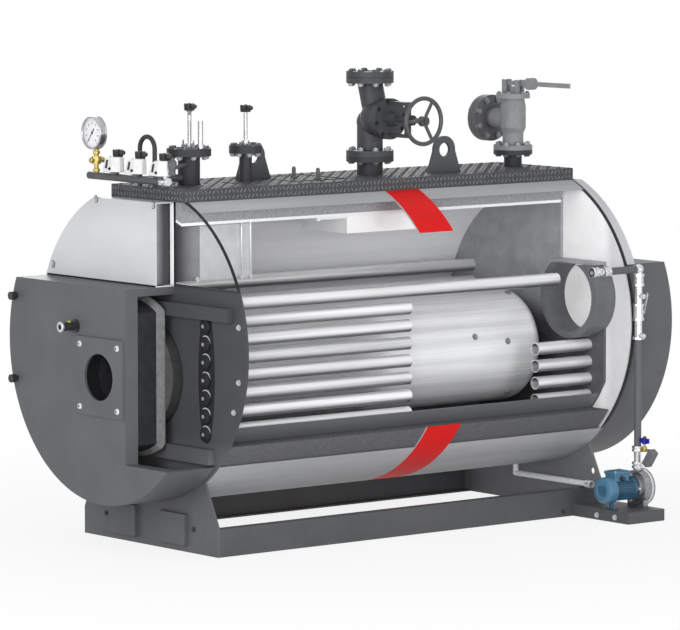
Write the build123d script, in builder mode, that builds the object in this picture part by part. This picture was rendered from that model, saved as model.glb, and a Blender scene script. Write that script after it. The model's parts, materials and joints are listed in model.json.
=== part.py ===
from build123d import *
from math import atan2, degrees, hypot, sqrt
import os

# Horizontal fire-tube steam boiler, sectioned on its near (+X) side.
# Floor at Z = 0, boiler axis along Y, burner front facing -Y. Millimetres.

# Casing
floor_gap = 197
casing_r = 708
jacket_t = 8
plate_t = 12
body_len = 2267
deck_sink = 57
deck_h = 56
deck_half = 271.5
deck_lip = 8
deck_short = 1
sheet_t = 6
gap = 0.3

axis_z = floor_gap + casing_r
plate_front = -plate_t / 2
plate_back = plate_t / 2
rear_y = plate_back + body_len
rear_back = rear_y + plate_t
deck_under = axis_z + casing_r - deck_sink
deck_top = deck_under + deck_h
deck_front = plate_front - deck_lip
deck_rear = rear_back - deck_short
crown = axis_z + 2 * casing_r
wide = 2 * casing_r

# Section planes of the near side
cut_x = 182
cut_drop = 504
cover_rise = 275
strip_h = 41
band_h = 176
band_y0 = 1130
band_w = 200
tab_h = 100
rim_w = 7
shell_cut_x = 225
shell_step = 164
wool_step = 95

cut_low = axis_z - cut_drop
cover_top = axis_z + cover_rise
strip_low = deck_under - strip_h
band_low = deck_under - band_h
band_y1 = band_y0 + band_w
shell_low = cut_low + shell_step

# Pressure body
wool_t = 100
shell_t = 12
tube_plate_t = 16
liner_t = 7
furnace_drop = 130
furnace_r = 267
furnace_t = 10
furnace_gap = 130
furnace_round = 75
tube_r = 30
tube_t = 4
tube_inset = 7.5
tube_gap = 8
tube_pitch = 80
tube_span = 600
stub_len = 8
short_gap = 92
window_len = 770
window_rear = 330
collar_gap = 7
collar_rise = 115
collar_r = 195
collar_t = 32
collar_len = 124
shelf_rise = 167
shelf_t = 14
shelf_w = 60
plate_reach = 130
shelf_reach = 175
stay_x = 164
stay_t = 12
stay_foot_t = 28
stay_len = 366
stay_foot = 64
stay_lift = 15
stay_drop = 53

shell_r = casing_r - jacket_t - wool_t
shell_in = shell_r - shell_t
liner_y = rear_y - liner_t
tube_plate_y = liner_y - tube_plate_t
furnace_z = axis_z - furnace_drop
furnace_end = tube_plate_y - furnace_gap
tube_x = (furnace_r + shell_in) / 2 - tube_inset
tube_drop = sqrt((shell_in - tube_r - tube_gap) ** 2 - tube_x ** 2)
tube_count = 1 + int(min(tube_span, 2 * tube_drop) / tube_pitch)
window_y1 = tube_plate_y - window_rear
window_y0 = window_y1 - window_len
tube_heights = [axis_z - tube_drop + tube_pitch * i for i in range(tube_count)]
collar_z = axis_z + collar_rise
collar_x = sqrt((furnace_r + collar_r + collar_gap) ** 2 - (collar_z - furnace_z) ** 2)
collar_y = liner_y - collar_len
shelf_z = collar_z + shelf_rise
plate_edge_x = collar_x + plate_reach

# Front cover, burner flange and door lining
cover_step = 8
cover_depth = 271
cover_wall = 35
cover_face = 70
burner_lift = 2
burner_side = 350
burner_t = 12
burner_pitch = 280
burner_hole_r = 105
stud_hole_r = 7
passage_step = 3
passage_gap = 10
lining_r = 345
lining_t = 102
slab_r = 366
slab_t = 50
slab_chamfer = 20
plug_gap = 10
plug_len = 75
panel_t = 100
panel_fold_x = 240
bar_t = 40
bar_room = 16
bar_out = 34
top_bar_drop = 127
top_bar_h = 60
low_bar_lift = 11
low_bar_h = 68
sight_x = -186
sight_rise = 87
sight_r = 19
sight_len = 86
knob_inset = 31
knob_r = 19
knob_rise = 190
knob_drop = 187
pocket_x = 185
pocket_w = 190
pocket_z = 30
pocket_h = 140
pocket_t = 20

cover_r = casing_r - cover_step
cover_front = plate_front - cover_depth
burner_z = furnace_z + burner_lift
lining_front = cover_front + cover_face
lining_back = lining_front + lining_t
slab_back = lining_back + slab_t
panel_front = plate_front - panel_t
passage_r = burner_hole_r + passage_gap
sight_z = axis_z + sight_rise
top_bar_z = cover_top - top_bar_drop
low_bar_z = cut_low + low_bar_lift

# Rear cover and flue
rear_step = 11
rear_depth = 246
rear_wall = 12
rear_panel_t = 49
flue_rise = 70
flue_r = 150
flue_t = 10
flue_len = 70
flue_rim = 20

rear_r = casing_r - rear_step
rear_end = rear_back + rear_depth
flue_z = axis_z + flue_rise
flue_in = flue_r - flue_t

# Base
foot_half = 500
foot_side = 125
foot_slope = 100
foot_bite = 5
beam_t = 8
beam_flange = 50
lash_inset = 70
lash_rise = 65
lash_r = 16

foot_top_x = foot_half - foot_slope
foot_top_z = axis_z - sqrt(casing_r ** 2 - foot_top_x ** 2) + foot_bite

# Fittings on the crown, by distance along the boiler
level_y = 218
probe_y = 540
steam_y = 1268
safety_inset = 128
neck_gap = 6
neck_root = 15
level_neck_r = 50
level_flange_r = 100
probe_neck_r = 29
probe_flange_r = 75
probe_rise = 129
flange_t = 16
gasket_t = 3
gasket_step = 8
steam_neck_r = 60
steam_flange_r = 110
steam_flange_t = 26
steam_rise = 61
steam_len = 363
steam_half = 176
steam_lean = 48
steam_join = 2
safety_neck_r = 42.5
safety_flange_r = 92.5
safety_flange_t = 22
safety_rise = 58
outlet_rise = 143
outlet_len = 202
bonnet_rise = 243
bonnet_r = 80
bonnet_t = 24
lever_rise = 315
lever_pin_x = -46
lever_end = 400
lever_h = 22
lever_t = 12
lever_play = 5
cheek_t = 8
pin_r = 6
bolt_pitch_r = 90
bolt_count = 8
bolt_r = 9
spindle_r = 12
wheel_x = 386
wheel_r = 104
wheel_tube = 10
spoke_r = 8
yoke_gap = 105
pin_gap = 0.08
lug_front_y = 660
lug_rear_y = 1630
lug_x = 100
lug_t = 16
lug_half = 98
lug_top_half = 62
lug_h = 105
lug_r = 64
lug_hole_r = 32
dryer_half = 165
dryer_front = 270
dryer_back = 155
dryer_drop = 31
dryer_h = 100
drip_r = 11
drip_out = 159
drip_len = 376

safety_y = rear_y - safety_inset
neck_z = axis_z + shell_r - neck_root
probe_z = deck_top + probe_rise
probe_top = probe_z + 2 * flange_t + gasket_t
steam_z = deck_top + steam_rise
steam_low = steam_z + steam_flange_t
steam_mid = steam_low + steam_half
steam_end = steam_low + steam_len
steam_high = steam_end + steam_join + steam_flange_t
safety_z = deck_top + safety_rise
safety_low = safety_z + safety_flange_t
outlet_z = safety_low + outlet_rise
bonnet_z = safety_low + bonnet_rise
lever_z = safety_low + lever_rise
dryer_top = axis_z + shell_in - dryer_drop
drip_x = dryer_half - drip_r - 3
drip_y = steam_y - dryer_front - drip_out
drip_z = dryer_top - 2 * drip_r - 3
necks = (
    (level_y, level_neck_r),
    (probe_y, probe_neck_r),
    (steam_y, steam_neck_r),
    (safety_y, safety_neck_r),
)

# Instruments ahead of the deck
pipe_r = 17
manifold_out = 31
manifold_rise = 33
manifold_x0 = -396
manifold_len = 592
gauge_x = -342
gauge_rise = 194
gauge_r = 75
gauge_t = 32
gauge_out = 27
dial_r = 67
dial_depth = 5
switch_rise = 25
switch_h = 69
switch_w = 106
switch_d = 60
switch_top_w = 56
switch_top_d = 47
switch_lean = 24
head_w = 36
head_h = 33
head_plug_r = 11
head_plug_len = 32
stem_rise = 148
stem_r = 9
stem_x = 5
glass_x = 70
glass_h = 126
glass_r = 12
siphon_x = -15
siphon_back = 11
siphon_rise = 168
siphon_r = 55
siphon_tube = 10.5

manifold_y = deck_front - manifold_out
manifold_z = deck_top + manifold_rise
gauge_y = manifold_y - gauge_out
gauge_z = manifold_z + gauge_rise
switch_z = manifold_z + switch_rise
switch_places = (-202, -35, 144)
siphon_y = deck_front + siphon_back
siphon_z = deck_top + siphon_rise

# Drain and feed pump
drain_inset = 103
drain_lift = 20
drain_r = 13.5
drain_reach = 40
union_r = 19
union_len = 34
platform_reach = 150
platform_front = 150
platform_back = 76
platform_h = 55
platform_t = 8
pump_out = 27
pump_inset = 33
pump_lift = 90
motor_r = 54
motor_len = 135
cowl_r = 62
cowl_len = 52
cowl_over = 47
casing_flange_r = 66
casing_flange_t = 20
pump_r = 80
pump_len = 46
pump_rim_r = 88
pump_rim_t = 10
spout_r = 30
spout_len = 30
spout_bore_r = 17
riser_back = 42
discharge_rise = 84
check_len = 109
riser_top = 1165
stop_drop = 330
feed_run = 160
elbow_len = 24
union_run = 110

drain_y = rear_y - drain_inset
drain_z = foot_side + drain_lift
pump_x = casing_r + pump_out
pump_y = rear_y - pump_inset
platform_x1 = pump_x + platform_reach
pump_z = platform_h + pump_lift
platform_y0 = pump_y - platform_front
platform_y1 = pump_y + platform_back
riser_y = pump_y + riser_back
discharge_z = pump_z + discharge_rise
check_top = discharge_z + check_len
stop_z = riser_top - stop_drop
spout_y = pump_y + casing_flange_t + pump_len + pump_rim_t
run_y = riser_y - elbow_len - feed_run
tap_z = discharge_z + 94
tap_x = pump_x + 48

up = (0, 0, 0)
to_rear = (-90, 0, 0)
to_front = (90, 0, 0)
to_near = (0, 90, 0)
to_far = (0, -90, 0)
base = (Align.CENTER, Align.CENTER, Align.MIN)


def rod(x, y, z, turn, radius, length, mode=Mode.ADD):
    """Cylinder that starts at a point and runs the way that turn points."""
    with Locations(Location((x, y, z), turn)):
        Cylinder(radius, length, align=base, mode=mode)


def taper(x, y, z, turn, radius0, radius1, length):
    """Cone that starts at a point and runs the way that turn points."""
    with Locations(Location((x, y, z), turn)):
        Cone(radius0, radius1, length, align=base)


def block(x0, x1, y0, y1, z0, z1, mode=Mode.ADD):
    """Box between two corners."""
    with Locations(((x0 + x1) / 2, (y0 + y1) / 2, (z0 + z1) / 2)):
        Box(x1 - x0, y1 - y0, z1 - z0, mode=mode)


def across(y):
    """Cross-section plane at a distance along the boiler, seen from the front."""
    return Plane.XZ.offset(-y)


def drum(radius, y0, y1, mode=Mode.ADD):
    """Disc or cylinder on the casing axis."""
    rod(0, y0, axis_z, to_rear, radius, y1 - y0, mode)


def half_width(radius, z):
    """Half the width of a circle on the casing axis at a height."""
    return sqrt(radius ** 2 - (z - axis_z) ** 2)


def bolt_ring(x, y, z, turn, depth):
    """Ring of bolt holes around an axis."""
    with Locations(Location((x, y, z), turn)):
        with PolarLocations(bolt_pitch_r, bolt_count, start_angle=180 / bolt_count):
            Cylinder(bolt_r, depth, align=base, mode=Mode.SUBTRACT)


def flange_pair(y, radius):
    """Two flanges with a gasket between them."""
    rod(0, y, probe_z, up, radius, flange_t)
    rod(0, y, probe_z + flange_t, up, radius - gasket_step, gasket_t)
    rod(0, y, probe_z + flange_t + gasket_t, up, radius, flange_t)


def plug_head(x, y, z):
    """Square connector head with a cable entry to one side."""
    block(x - head_w / 2, x + head_w / 2, y - head_w / 2, y + head_w / 2, z, z + head_h)
    rod(x, y, z + head_h - head_plug_r - 3, to_near, head_plug_r, head_plug_len)


def save(shape, name):
    """Labels a finished sub-part and writes its file."""
    shape.label = name
    export_step(shape, "parts/" + name + ".step")


os.makedirs("parts", exist_ok=True)
foot_outline = [
    (-foot_half, 0),
    (foot_half, 0),
    (foot_half, foot_side),
    (foot_top_x, foot_top_z),
    (-foot_top_x, foot_top_z),
    (-foot_half, foot_side),
]

# Front end plate on its foot, with the furnace mouth, two bars and two raised pocket covers
with BuildPart() as front_plate:
    with BuildSketch(across(plate_back)):
        with Locations((0, axis_z)):
            Circle(casing_r)
        Polygon(*foot_outline, align=None)
        with Locations((0, furnace_z)):
            Circle(furnace_r - 2 * furnace_t, mode=Mode.SUBTRACT)
    extrude(amount=plate_t)
    with BuildSketch(across(plate_back)):
        with Locations((0, axis_z)):
            Circle(casing_r - rim_w)
        with Locations((cut_x, cover_top + 10)):
            Rectangle(casing_r, casing_r, align=(Align.MIN, Align.MIN), mode=Mode.INTERSECT)
    extrude(amount=plate_t, mode=Mode.SUBTRACT)
    block(-wide, wide, plate_front - 10, plate_back + 10, deck_under, crown, mode=Mode.SUBTRACT)
    for side in (-1, 1):
        middle = pocket_x * side
        block(
            middle - pocket_w / 2, middle + pocket_w / 2,
            plate_front - pocket_t, plate_front, pocket_z, pocket_z + pocket_h,
        )
    top_half = half_width(cover_r - cover_wall, top_bar_z + top_bar_h) - bar_room
    low_half = half_width(cover_r - cover_wall, low_bar_z)
    block(-top_half, top_half, plate_front - bar_t, plate_front, top_bar_z, top_bar_z + top_bar_h)
    block(
        bar_room - low_half, low_half + bar_out,
        plate_front - bar_t, plate_front, low_bar_z, low_bar_z + low_bar_h,
    )
save(front_plate.part, "front_plate")

# Rear end plate on its foot
with BuildPart() as rear_plate:
    with BuildSketch(across(rear_back)):
        with Locations((0, axis_z)):
            Circle(casing_r)
        Polygon(*foot_outline, align=None)
        with Locations((0, foot_side + lash_rise)):
            with GridLocations(2 * (foot_half - lash_inset), 0, 2, 1):
                Circle(lash_r, mode=Mode.SUBTRACT)
    extrude(amount=plate_t)
    block(-wide, wide, rear_y - 10, rear_back + 10, deck_under, crown, mode=Mode.SUBTRACT)
save(rear_plate.part, "rear_plate")

# Base channels between the two feet, open to the inside
with BuildPart() as base_beams:
    for side in (-1, 1):
        outer = foot_half * side
        web = (foot_half - beam_t) * side
        lip = (foot_half - beam_flange) * side
        block(min(outer, lip), max(outer, lip), plate_back, rear_y, 0, foot_side)
        block(
            min(web, lip), max(web, lip), plate_back, rear_y,
            beam_t, foot_side - beam_t, mode=Mode.SUBTRACT,
        )
save(base_beams.part, "base_beams")

# Front cover, flat on top, cut open on the near side
with BuildPart() as front_cover:
    drum(cover_r, cover_front, plate_front)
    block(-wide, wide, cover_front, plate_front, cover_top, crown, mode=Mode.SUBTRACT)
    with BuildSketch(across(plate_front)):
        with Locations((0, axis_z)):
            Circle(cover_r - cover_wall)
        with Locations((0, cover_top - cover_wall)):
            Rectangle(2 * cover_r, cover_r, align=(Align.CENTER, Align.MIN), mode=Mode.SUBTRACT)
    extrude(amount=cover_depth - cover_face, mode=Mode.SUBTRACT)
    block(cut_x, wide, cover_front, plate_front, cut_low, crown, mode=Mode.SUBTRACT)
    rod(0, cover_front, burner_z, to_rear, passage_r, cover_face, Mode.SUBTRACT)
save(front_cover.part, "front_cover")

# Fibre lining of the cover around the burner hole
with BuildPart() as door_lining:
    rod(0, lining_front, burner_z, to_rear, lining_r, lining_t)
    rod(0, lining_front, burner_z, to_rear, passage_r + passage_step, lining_t, Mode.SUBTRACT)
    block(cut_x, wide, lining_front, lining_back, 0, crown, mode=Mode.SUBTRACT)
save(door_lining.part, "door_lining")

# Refractory slab with a bevelled rim, cut at the section plane, and its round plug in the furnace mouth
with BuildPart() as refractory_slab:
    rod(0, lining_back, burner_z, to_rear, slab_r, slab_t)
    chamfer(refractory_slab.edges().filter_by(GeomType.CIRCLE), slab_chamfer)
    block(cut_x, wide, lining_back, slab_back, 0, crown, mode=Mode.SUBTRACT)
    rod(0, slab_back, furnace_z, to_rear, furnace_r - 2 * furnace_t - plug_gap, plug_len)
    rod(0, lining_back, burner_z, to_rear, passage_r + 2 * passage_step, slab_t + plug_len, Mode.SUBTRACT)
save(refractory_slab.part, "refractory_slab")

# Square burner flange
with BuildPart() as burner_plate:
    block(
        -burner_side / 2, burner_side / 2,
        cover_front - burner_t, cover_front,
        burner_z - burner_side / 2, burner_z + burner_side / 2,
    )
    rod(0, cover_front, burner_z, to_front, burner_hole_r, burner_t, Mode.SUBTRACT)
    with Locations(Location((0, cover_front, burner_z), to_front)):
        with GridLocations(burner_pitch, burner_pitch, 2, 2):
            Cylinder(stud_hole_r, burner_t, align=base, mode=Mode.SUBTRACT)
save(burner_plate.part, "burner_plate")

# Flame sight tube
with BuildPart() as sight_tube:
    rod(sight_x, cover_front, sight_z, to_front, sight_r + 11, 10)
    rod(sight_x, cover_front, sight_z, to_front, sight_r, sight_len)
    rod(sight_x, cover_front - sight_len, sight_z, to_rear, sight_r - 7, 30, Mode.SUBTRACT)
save(sight_tube.part, "sight_tube")

# Screw knobs on the far edge of the cover
with BuildPart() as cover_knobs:
    for height in (axis_z + knob_rise, axis_z - knob_drop):
        knob_x = knob_inset - half_width(cover_r, height)
        rod(knob_x, cover_front, height, to_front, knob_r - 7, 12)
        rod(knob_x, cover_front - 12, height, to_front, knob_r, 24)
save(cover_knobs.part, "cover_knobs")

# White upper front panel, a folded pan cut at the section plane
with BuildPart() as front_panel:
    drum(casing_r, panel_front, plate_front)
    drum(casing_r - sheet_t, panel_front + sheet_t, plate_front, Mode.SUBTRACT)
    block(-wide, wide, panel_front, plate_front, 0, cover_top, mode=Mode.SUBTRACT)
    block(-wide, wide, panel_front, plate_front, deck_under, crown, mode=Mode.SUBTRACT)
    block(
        -half_width(casing_r, cover_top + sheet_t) + sheet_t, cut_x,
        panel_front + 1, plate_front, cover_top, cover_top + sheet_t,
    )
    block(-panel_fold_x, cut_x, panel_front + 1, plate_front, deck_under - sheet_t, deck_under)
    block(cut_x, wide, panel_front, plate_front, 0, crown, mode=Mode.SUBTRACT)
save(front_panel.part, "front_panel")

# Outer jacket, open under the deck, with the near side cut away but for two tabs of the hoop
with BuildPart() as jacket:
    drum(casing_r, plate_back, rear_y)
    drum(casing_r - jacket_t, plate_back, rear_y, Mode.SUBTRACT)
    block(-wide, wide, plate_back, rear_y, deck_under, crown, mode=Mode.SUBTRACT)
    block(0, wide, plate_back, band_y0, cut_low, strip_low, mode=Mode.SUBTRACT)
    block(0, wide, band_y0, band_y1, cut_low + tab_h, band_low, mode=Mode.SUBTRACT)
    block(0, wide, band_y1, rear_y, cut_low, strip_low, mode=Mode.SUBTRACT)
save(jacket.part, "jacket")

# Mineral wool between shell and jacket
with BuildPart() as insulation:
    drum(casing_r - jacket_t - gap, plate_back, tube_plate_y)
    drum(shell_r + gap, plate_back, tube_plate_y, Mode.SUBTRACT)
    block(-wide, wide, plate_back, rear_y, deck_under - gap, crown, mode=Mode.SUBTRACT)
    block(shell_cut_x, wide, plate_back, rear_y, cut_low + wool_step, crown, mode=Mode.SUBTRACT)
    for place, radius in necks:
        rod(0, place, neck_z, up, radius + neck_gap, deck_h + wool_t, Mode.SUBTRACT)
save(insulation.part, "insulation")

# Pressure shell, cut open on the near side
with BuildPart() as shell:
    drum(shell_r, plate_back, tube_plate_y)
    drum(shell_in, plate_back, tube_plate_y, Mode.SUBTRACT)
    block(shell_cut_x, wide, plate_back, rear_y, shell_low, crown, mode=Mode.SUBTRACT)
save(shell.part, "shell")

# Rear tube plate with a shelf along its cut top edge
with BuildPart() as rear_tube_plate:
    drum(shell_r, tube_plate_y, liner_y)
    block(shell_cut_x, wide, tube_plate_y, liner_y, shelf_z, crown, mode=Mode.SUBTRACT)
    block(plate_edge_x, wide, tube_plate_y, liner_y, 0, crown, mode=Mode.SUBTRACT)
    rod(collar_x, tube_plate_y, collar_z, to_rear, collar_r + gap, tube_plate_t, Mode.SUBTRACT)
    block(collar_x - shelf_reach, plate_edge_x, tube_plate_y - shelf_w, liner_y, shelf_z - shelf_t, shelf_z)
save(rear_tube_plate.part, "rear_tube_plate")

# White insulating disc in front of the rear end plate
with BuildPart() as rear_liner:
    drum(casing_r - jacket_t - gap, liner_y, rear_y)
    block(-wide, wide, liner_y, rear_y, deck_under, crown, mode=Mode.SUBTRACT)
save(rear_liner.part, "rear_liner")

# Round collar under the shelf
with BuildPart() as rear_collar:
    rod(collar_x, collar_y, collar_z, to_rear, collar_r, collar_len)
    rod(collar_x, collar_y, collar_z, to_rear, collar_r - collar_t, collar_len, Mode.SUBTRACT)
    block(collar_x - wide, collar_x + wide, collar_y, liner_y, shelf_z - shelf_t, crown, mode=Mode.SUBTRACT)
save(rear_collar.part, "rear_collar")

# Upper rear panel, a folded pan behind the rear end plate
with BuildPart() as rear_panel:
    drum(casing_r, rear_back, rear_back + rear_panel_t)
    drum(casing_r - sheet_t, rear_back, rear_back + rear_panel_t - sheet_t, Mode.SUBTRACT)
    block(-wide, wide, rear_back, rear_end, 0, cover_top, mode=Mode.SUBTRACT)
    block(-wide, wide, rear_back, rear_end, deck_under, crown, mode=Mode.SUBTRACT)
save(rear_panel.part, "rear_panel")

# Rear cover with the flue hole in its back
with BuildPart() as rear_cover:
    drum(rear_r, rear_back, rear_end)
    block(-wide, wide, rear_back, rear_end, cover_top, crown, mode=Mode.SUBTRACT)
    with BuildSketch(across(rear_end - rear_wall)):
        with Locations((0, axis_z)):
            Circle(rear_r - rear_wall)
        with Locations((0, cover_top - rear_wall)):
            Rectangle(2 * rear_r, rear_r, align=(Align.CENTER, Align.MIN), mode=Mode.SUBTRACT)
    extrude(amount=rear_depth - rear_wall, mode=Mode.SUBTRACT)
    rod(0, rear_end - rear_wall, flue_z, to_rear, flue_in + 5, rear_wall, Mode.SUBTRACT)
save(rear_cover.part, "rear_cover")

# Flue spigot
with BuildPart() as flue_spigot:
    rod(0, rear_end, flue_z, to_rear, flue_r, flue_len)
    rod(0, rear_end, flue_z, to_rear, flue_r + flue_rim, 8)
    rod(0, rear_end, flue_z, to_rear, flue_in, flue_len, Mode.SUBTRACT)
save(flue_spigot.part, "flue_spigot")

# Furnace tube, closed by a rounded end
with BuildPart() as furnace:
    rod(0, plate_back, furnace_z, to_rear, furnace_r, furnace_end - plate_back)
    fillet(furnace.edges().filter_by(GeomType.CIRCLE).sort_by(Axis.Y)[-1], furnace_round)
    rod(
        0, plate_back, furnace_z, to_rear, furnace_r - furnace_t,
        furnace_end - plate_back - furnace_round - furnace_t / 2, Mode.SUBTRACT,
    )
save(furnace.part, "furnace")

# Fire tubes on both sides of the furnace, with their expanded front ends.
# Near tubes in front of the furnace leave a window, and those at the collar's height stop short of it.
with BuildPart() as fire_tubes:
    for side in (-1, 1):
        for height in tube_heights:
            at_collar = height + tube_r > collar_z - collar_r
            if side < 0:
                runs = [(plate_back, tube_plate_y)]
            elif height > furnace_z + furnace_r:
                runs = [(plate_back, collar_y - short_gap)]
            elif at_collar:
                runs = [(plate_back, window_y0)]
            else:
                runs = [(plate_back, window_y0), (window_y1, tube_plate_y)]
            for start, end in runs:
                rod(tube_x * side, start, height, to_rear, tube_r, end - start)
                rod(tube_x * side, start, height, to_rear, tube_r - tube_t, end - start, Mode.SUBTRACT)
            if height + tube_r < top_bar_z:
                rod(tube_x * side, plate_front, height, to_front, tube_r, stub_len)
                rod(tube_x * side, plate_front, height, to_front, tube_r - tube_t, stub_len, Mode.SUBTRACT)
save(fire_tubes.part, "fire_tubes")

# Gusset stays behind the front plate
with BuildPart() as stays:
    stay_low = cover_top + stay_lift
    stay_top = axis_z + shell_in - stay_drop
    stay_end = plate_back + stay_len
    for side in (-1, 1):
        middle = stay_x * side
        block(middle - stay_t / 2, middle + stay_t / 2, plate_back, stay_end, stay_low, stay_top)
        block(
            middle - stay_foot_t / 2, middle + stay_foot_t / 2,
            stay_end, stay_end + stay_foot, stay_low, stay_top,
        )
save(stays.part, "stays")

# Steam dryer box under the main outlet, with a drip pipe that turns across the shell
with BuildPart() as steam_dryer:
    block(
        -dryer_half, dryer_half,
        steam_y - dryer_front, steam_y + dryer_back,
        dryer_top - dryer_h, dryer_top,
    )
    rod(0, steam_y, dryer_top, up, steam_neck_r - 10, 2 * dryer_drop)
    drum(shell_in - gap, steam_y - wide, steam_y + wide, Mode.INTERSECT)
    rod(drip_x, steam_y - dryer_front, drip_z, to_front, drip_r - 3, drip_out)
    with Locations((drip_x, drip_y, drip_z)):
        Sphere(drip_r + 2)
    rod(drip_x, drip_y, drip_z, to_far, drip_r, drip_len)
    rod(drip_x - drip_len, drip_y, drip_z, to_near, drip_r - 4, 40, Mode.SUBTRACT)
save(steam_dryer.part, "steam_dryer")

# Tread deck, a tray with openings for the crown fittings
with BuildPart() as deck:
    block(-deck_half, deck_half, deck_front, deck_rear, deck_under, deck_top)
    block(
        -deck_half + sheet_t, deck_half - sheet_t,
        deck_front + sheet_t, deck_rear - sheet_t,
        deck_under, deck_top - sheet_t, mode=Mode.SUBTRACT,
    )
    for place, radius in necks:
        rod(0, place, deck_under, up, radius + neck_gap, deck_h, Mode.SUBTRACT)
save(deck.part, "deck")

# Lifting lugs on the deck
with BuildPart() as lifting_lugs:
    for x, y in ((-lug_x, lug_front_y), (lug_x, lug_rear_y)):
        with BuildSketch(Plane.YZ.offset(x - lug_t / 2)):
            with Locations((y, deck_top)):
                Polygon(
                    (-lug_half, 0), (lug_half, 0), (lug_top_half, lug_h), (-lug_top_half, lug_h), align=None,
                )
            with Locations((y, deck_top + lug_h)):
                Circle(lug_r)
                Circle(lug_hole_r, mode=Mode.SUBTRACT)
        extrude(amount=lug_t)
save(lifting_lugs.part, "lifting_lugs")

# Necks and flanges that stand on the shell's crown
with BuildPart() as nozzles:
    rod(0, level_y, neck_z, up, level_neck_r, probe_z - neck_z)
    flange_pair(level_y, level_flange_r)
    rod(0, probe_y, neck_z, up, probe_neck_r, probe_z - neck_z)
    flange_pair(probe_y, probe_flange_r)
    rod(0, steam_y, neck_z, up, steam_neck_r, steam_z - neck_z)
    rod(0, steam_y, steam_z, up, steam_flange_r, steam_flange_t)
    rod(0, safety_y, neck_z, up, safety_neck_r, safety_z - neck_z)
    rod(0, safety_y, safety_z, up, safety_flange_r, safety_flange_t)
    drum(shell_r + gap, plate_back, rear_y, Mode.SUBTRACT)
save(nozzles.part, "nozzles")

# Level probes and the sight glass beside the first one
with BuildPart() as level_probes:
    for x, y in ((stem_x, level_y), (0, probe_y)):
        rod(x, y, probe_top, up, 2 * stem_r, 24)
        rod(x, y, probe_top, up, stem_r, stem_rise)
    rod(glass_x, level_y + 12, probe_top, up, glass_r + 4, 24)
    rod(glass_x, level_y + 12, probe_top, up, glass_r, glass_h)
save(level_probes.part, "level_probes")

# Black connector heads of the probes and switches
with BuildPart() as terminal_heads:
    plug_head(stem_x, level_y, probe_top + stem_rise)
    plug_head(0, probe_y, probe_top + stem_rise)
    for x in switch_places:
        plug_head(x + switch_lean, manifold_y, switch_z + switch_h)
save(terminal_heads.part, "terminal_heads")

# Main steam stop valve with an S-shaped body and a yoke towards the near side
with BuildPart() as steam_valve:
    rod(0, steam_y, steam_low, up, steam_flange_r, steam_flange_t)
    rod(0, steam_y, steam_low, up, steam_neck_r, steam_half - 20)
    with Locations((0, steam_y, steam_mid - 20)):
        Sphere(steam_neck_r + 2)
    neck_h = steam_end - steam_flange_t - steam_mid
    neck_turn = (0, -degrees(atan2(steam_lean, neck_h)), 0)
    rod(steam_lean, steam_y, steam_mid, neck_turn, steam_neck_r - 2, hypot(steam_lean, neck_h) + 20)
    rod(0, steam_y, steam_end - steam_flange_t, up, steam_flange_r, steam_flange_t)
    rod(0, steam_y, steam_end, up, steam_flange_r - gasket_step, steam_join)
    rod(0, steam_y, steam_end + steam_join, up, steam_flange_r, steam_flange_t)
    with Locations((steam_neck_r, steam_y, steam_mid)):
        Sphere(84)
    rod(steam_neck_r, steam_y, steam_mid, to_near, 80, 112 - steam_neck_r)
    rod(112, steam_y, steam_mid, to_near, 95, 38)
    taper(150, steam_y, steam_mid, to_near, 36, 27, 52)
    rod(150, steam_y, steam_mid, to_near, spindle_r, wheel_x - 128)
    yoke_x = wheel_x - yoke_gap
    for side in (-1, 1):
        arm = steam_mid + 74 * side
        block(146, yoke_x, steam_y - 11, steam_y + 11, arm - 8, arm + 8)
    block(yoke_x - 16, yoke_x, steam_y - 14, steam_y + 14, steam_mid - 82, steam_mid + 82)
    rod(yoke_x, steam_y, steam_mid, to_near, 2 * spindle_r, 30)
    rod(0, steam_y, steam_high, (180, 0, 0), 50, 60, Mode.SUBTRACT)
    bolt_ring(0, steam_y, steam_end - steam_flange_t, up, 3 * steam_flange_t)
save(steam_valve.part, "steam_valve")

# Handwheel that turns on the valve spindle
with BuildPart() as handwheel:
    rod(wheel_x - 14, steam_y, steam_mid, to_near, 2 * spindle_r, 28)
    with Locations(Location((wheel_x, steam_y, steam_mid), to_near)):
        Torus(wheel_r, wheel_tube)
        with PolarLocations(0, 3, start_angle=30):
            with Locations(Location((0, 0, 0), to_near)):
                Cylinder(spoke_r, wheel_r, align=base)
    rod(wheel_x - 20, steam_y, steam_mid, to_near, spindle_r + pin_gap, 40, Mode.SUBTRACT)
save(handwheel.part, "handwheel")

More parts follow.
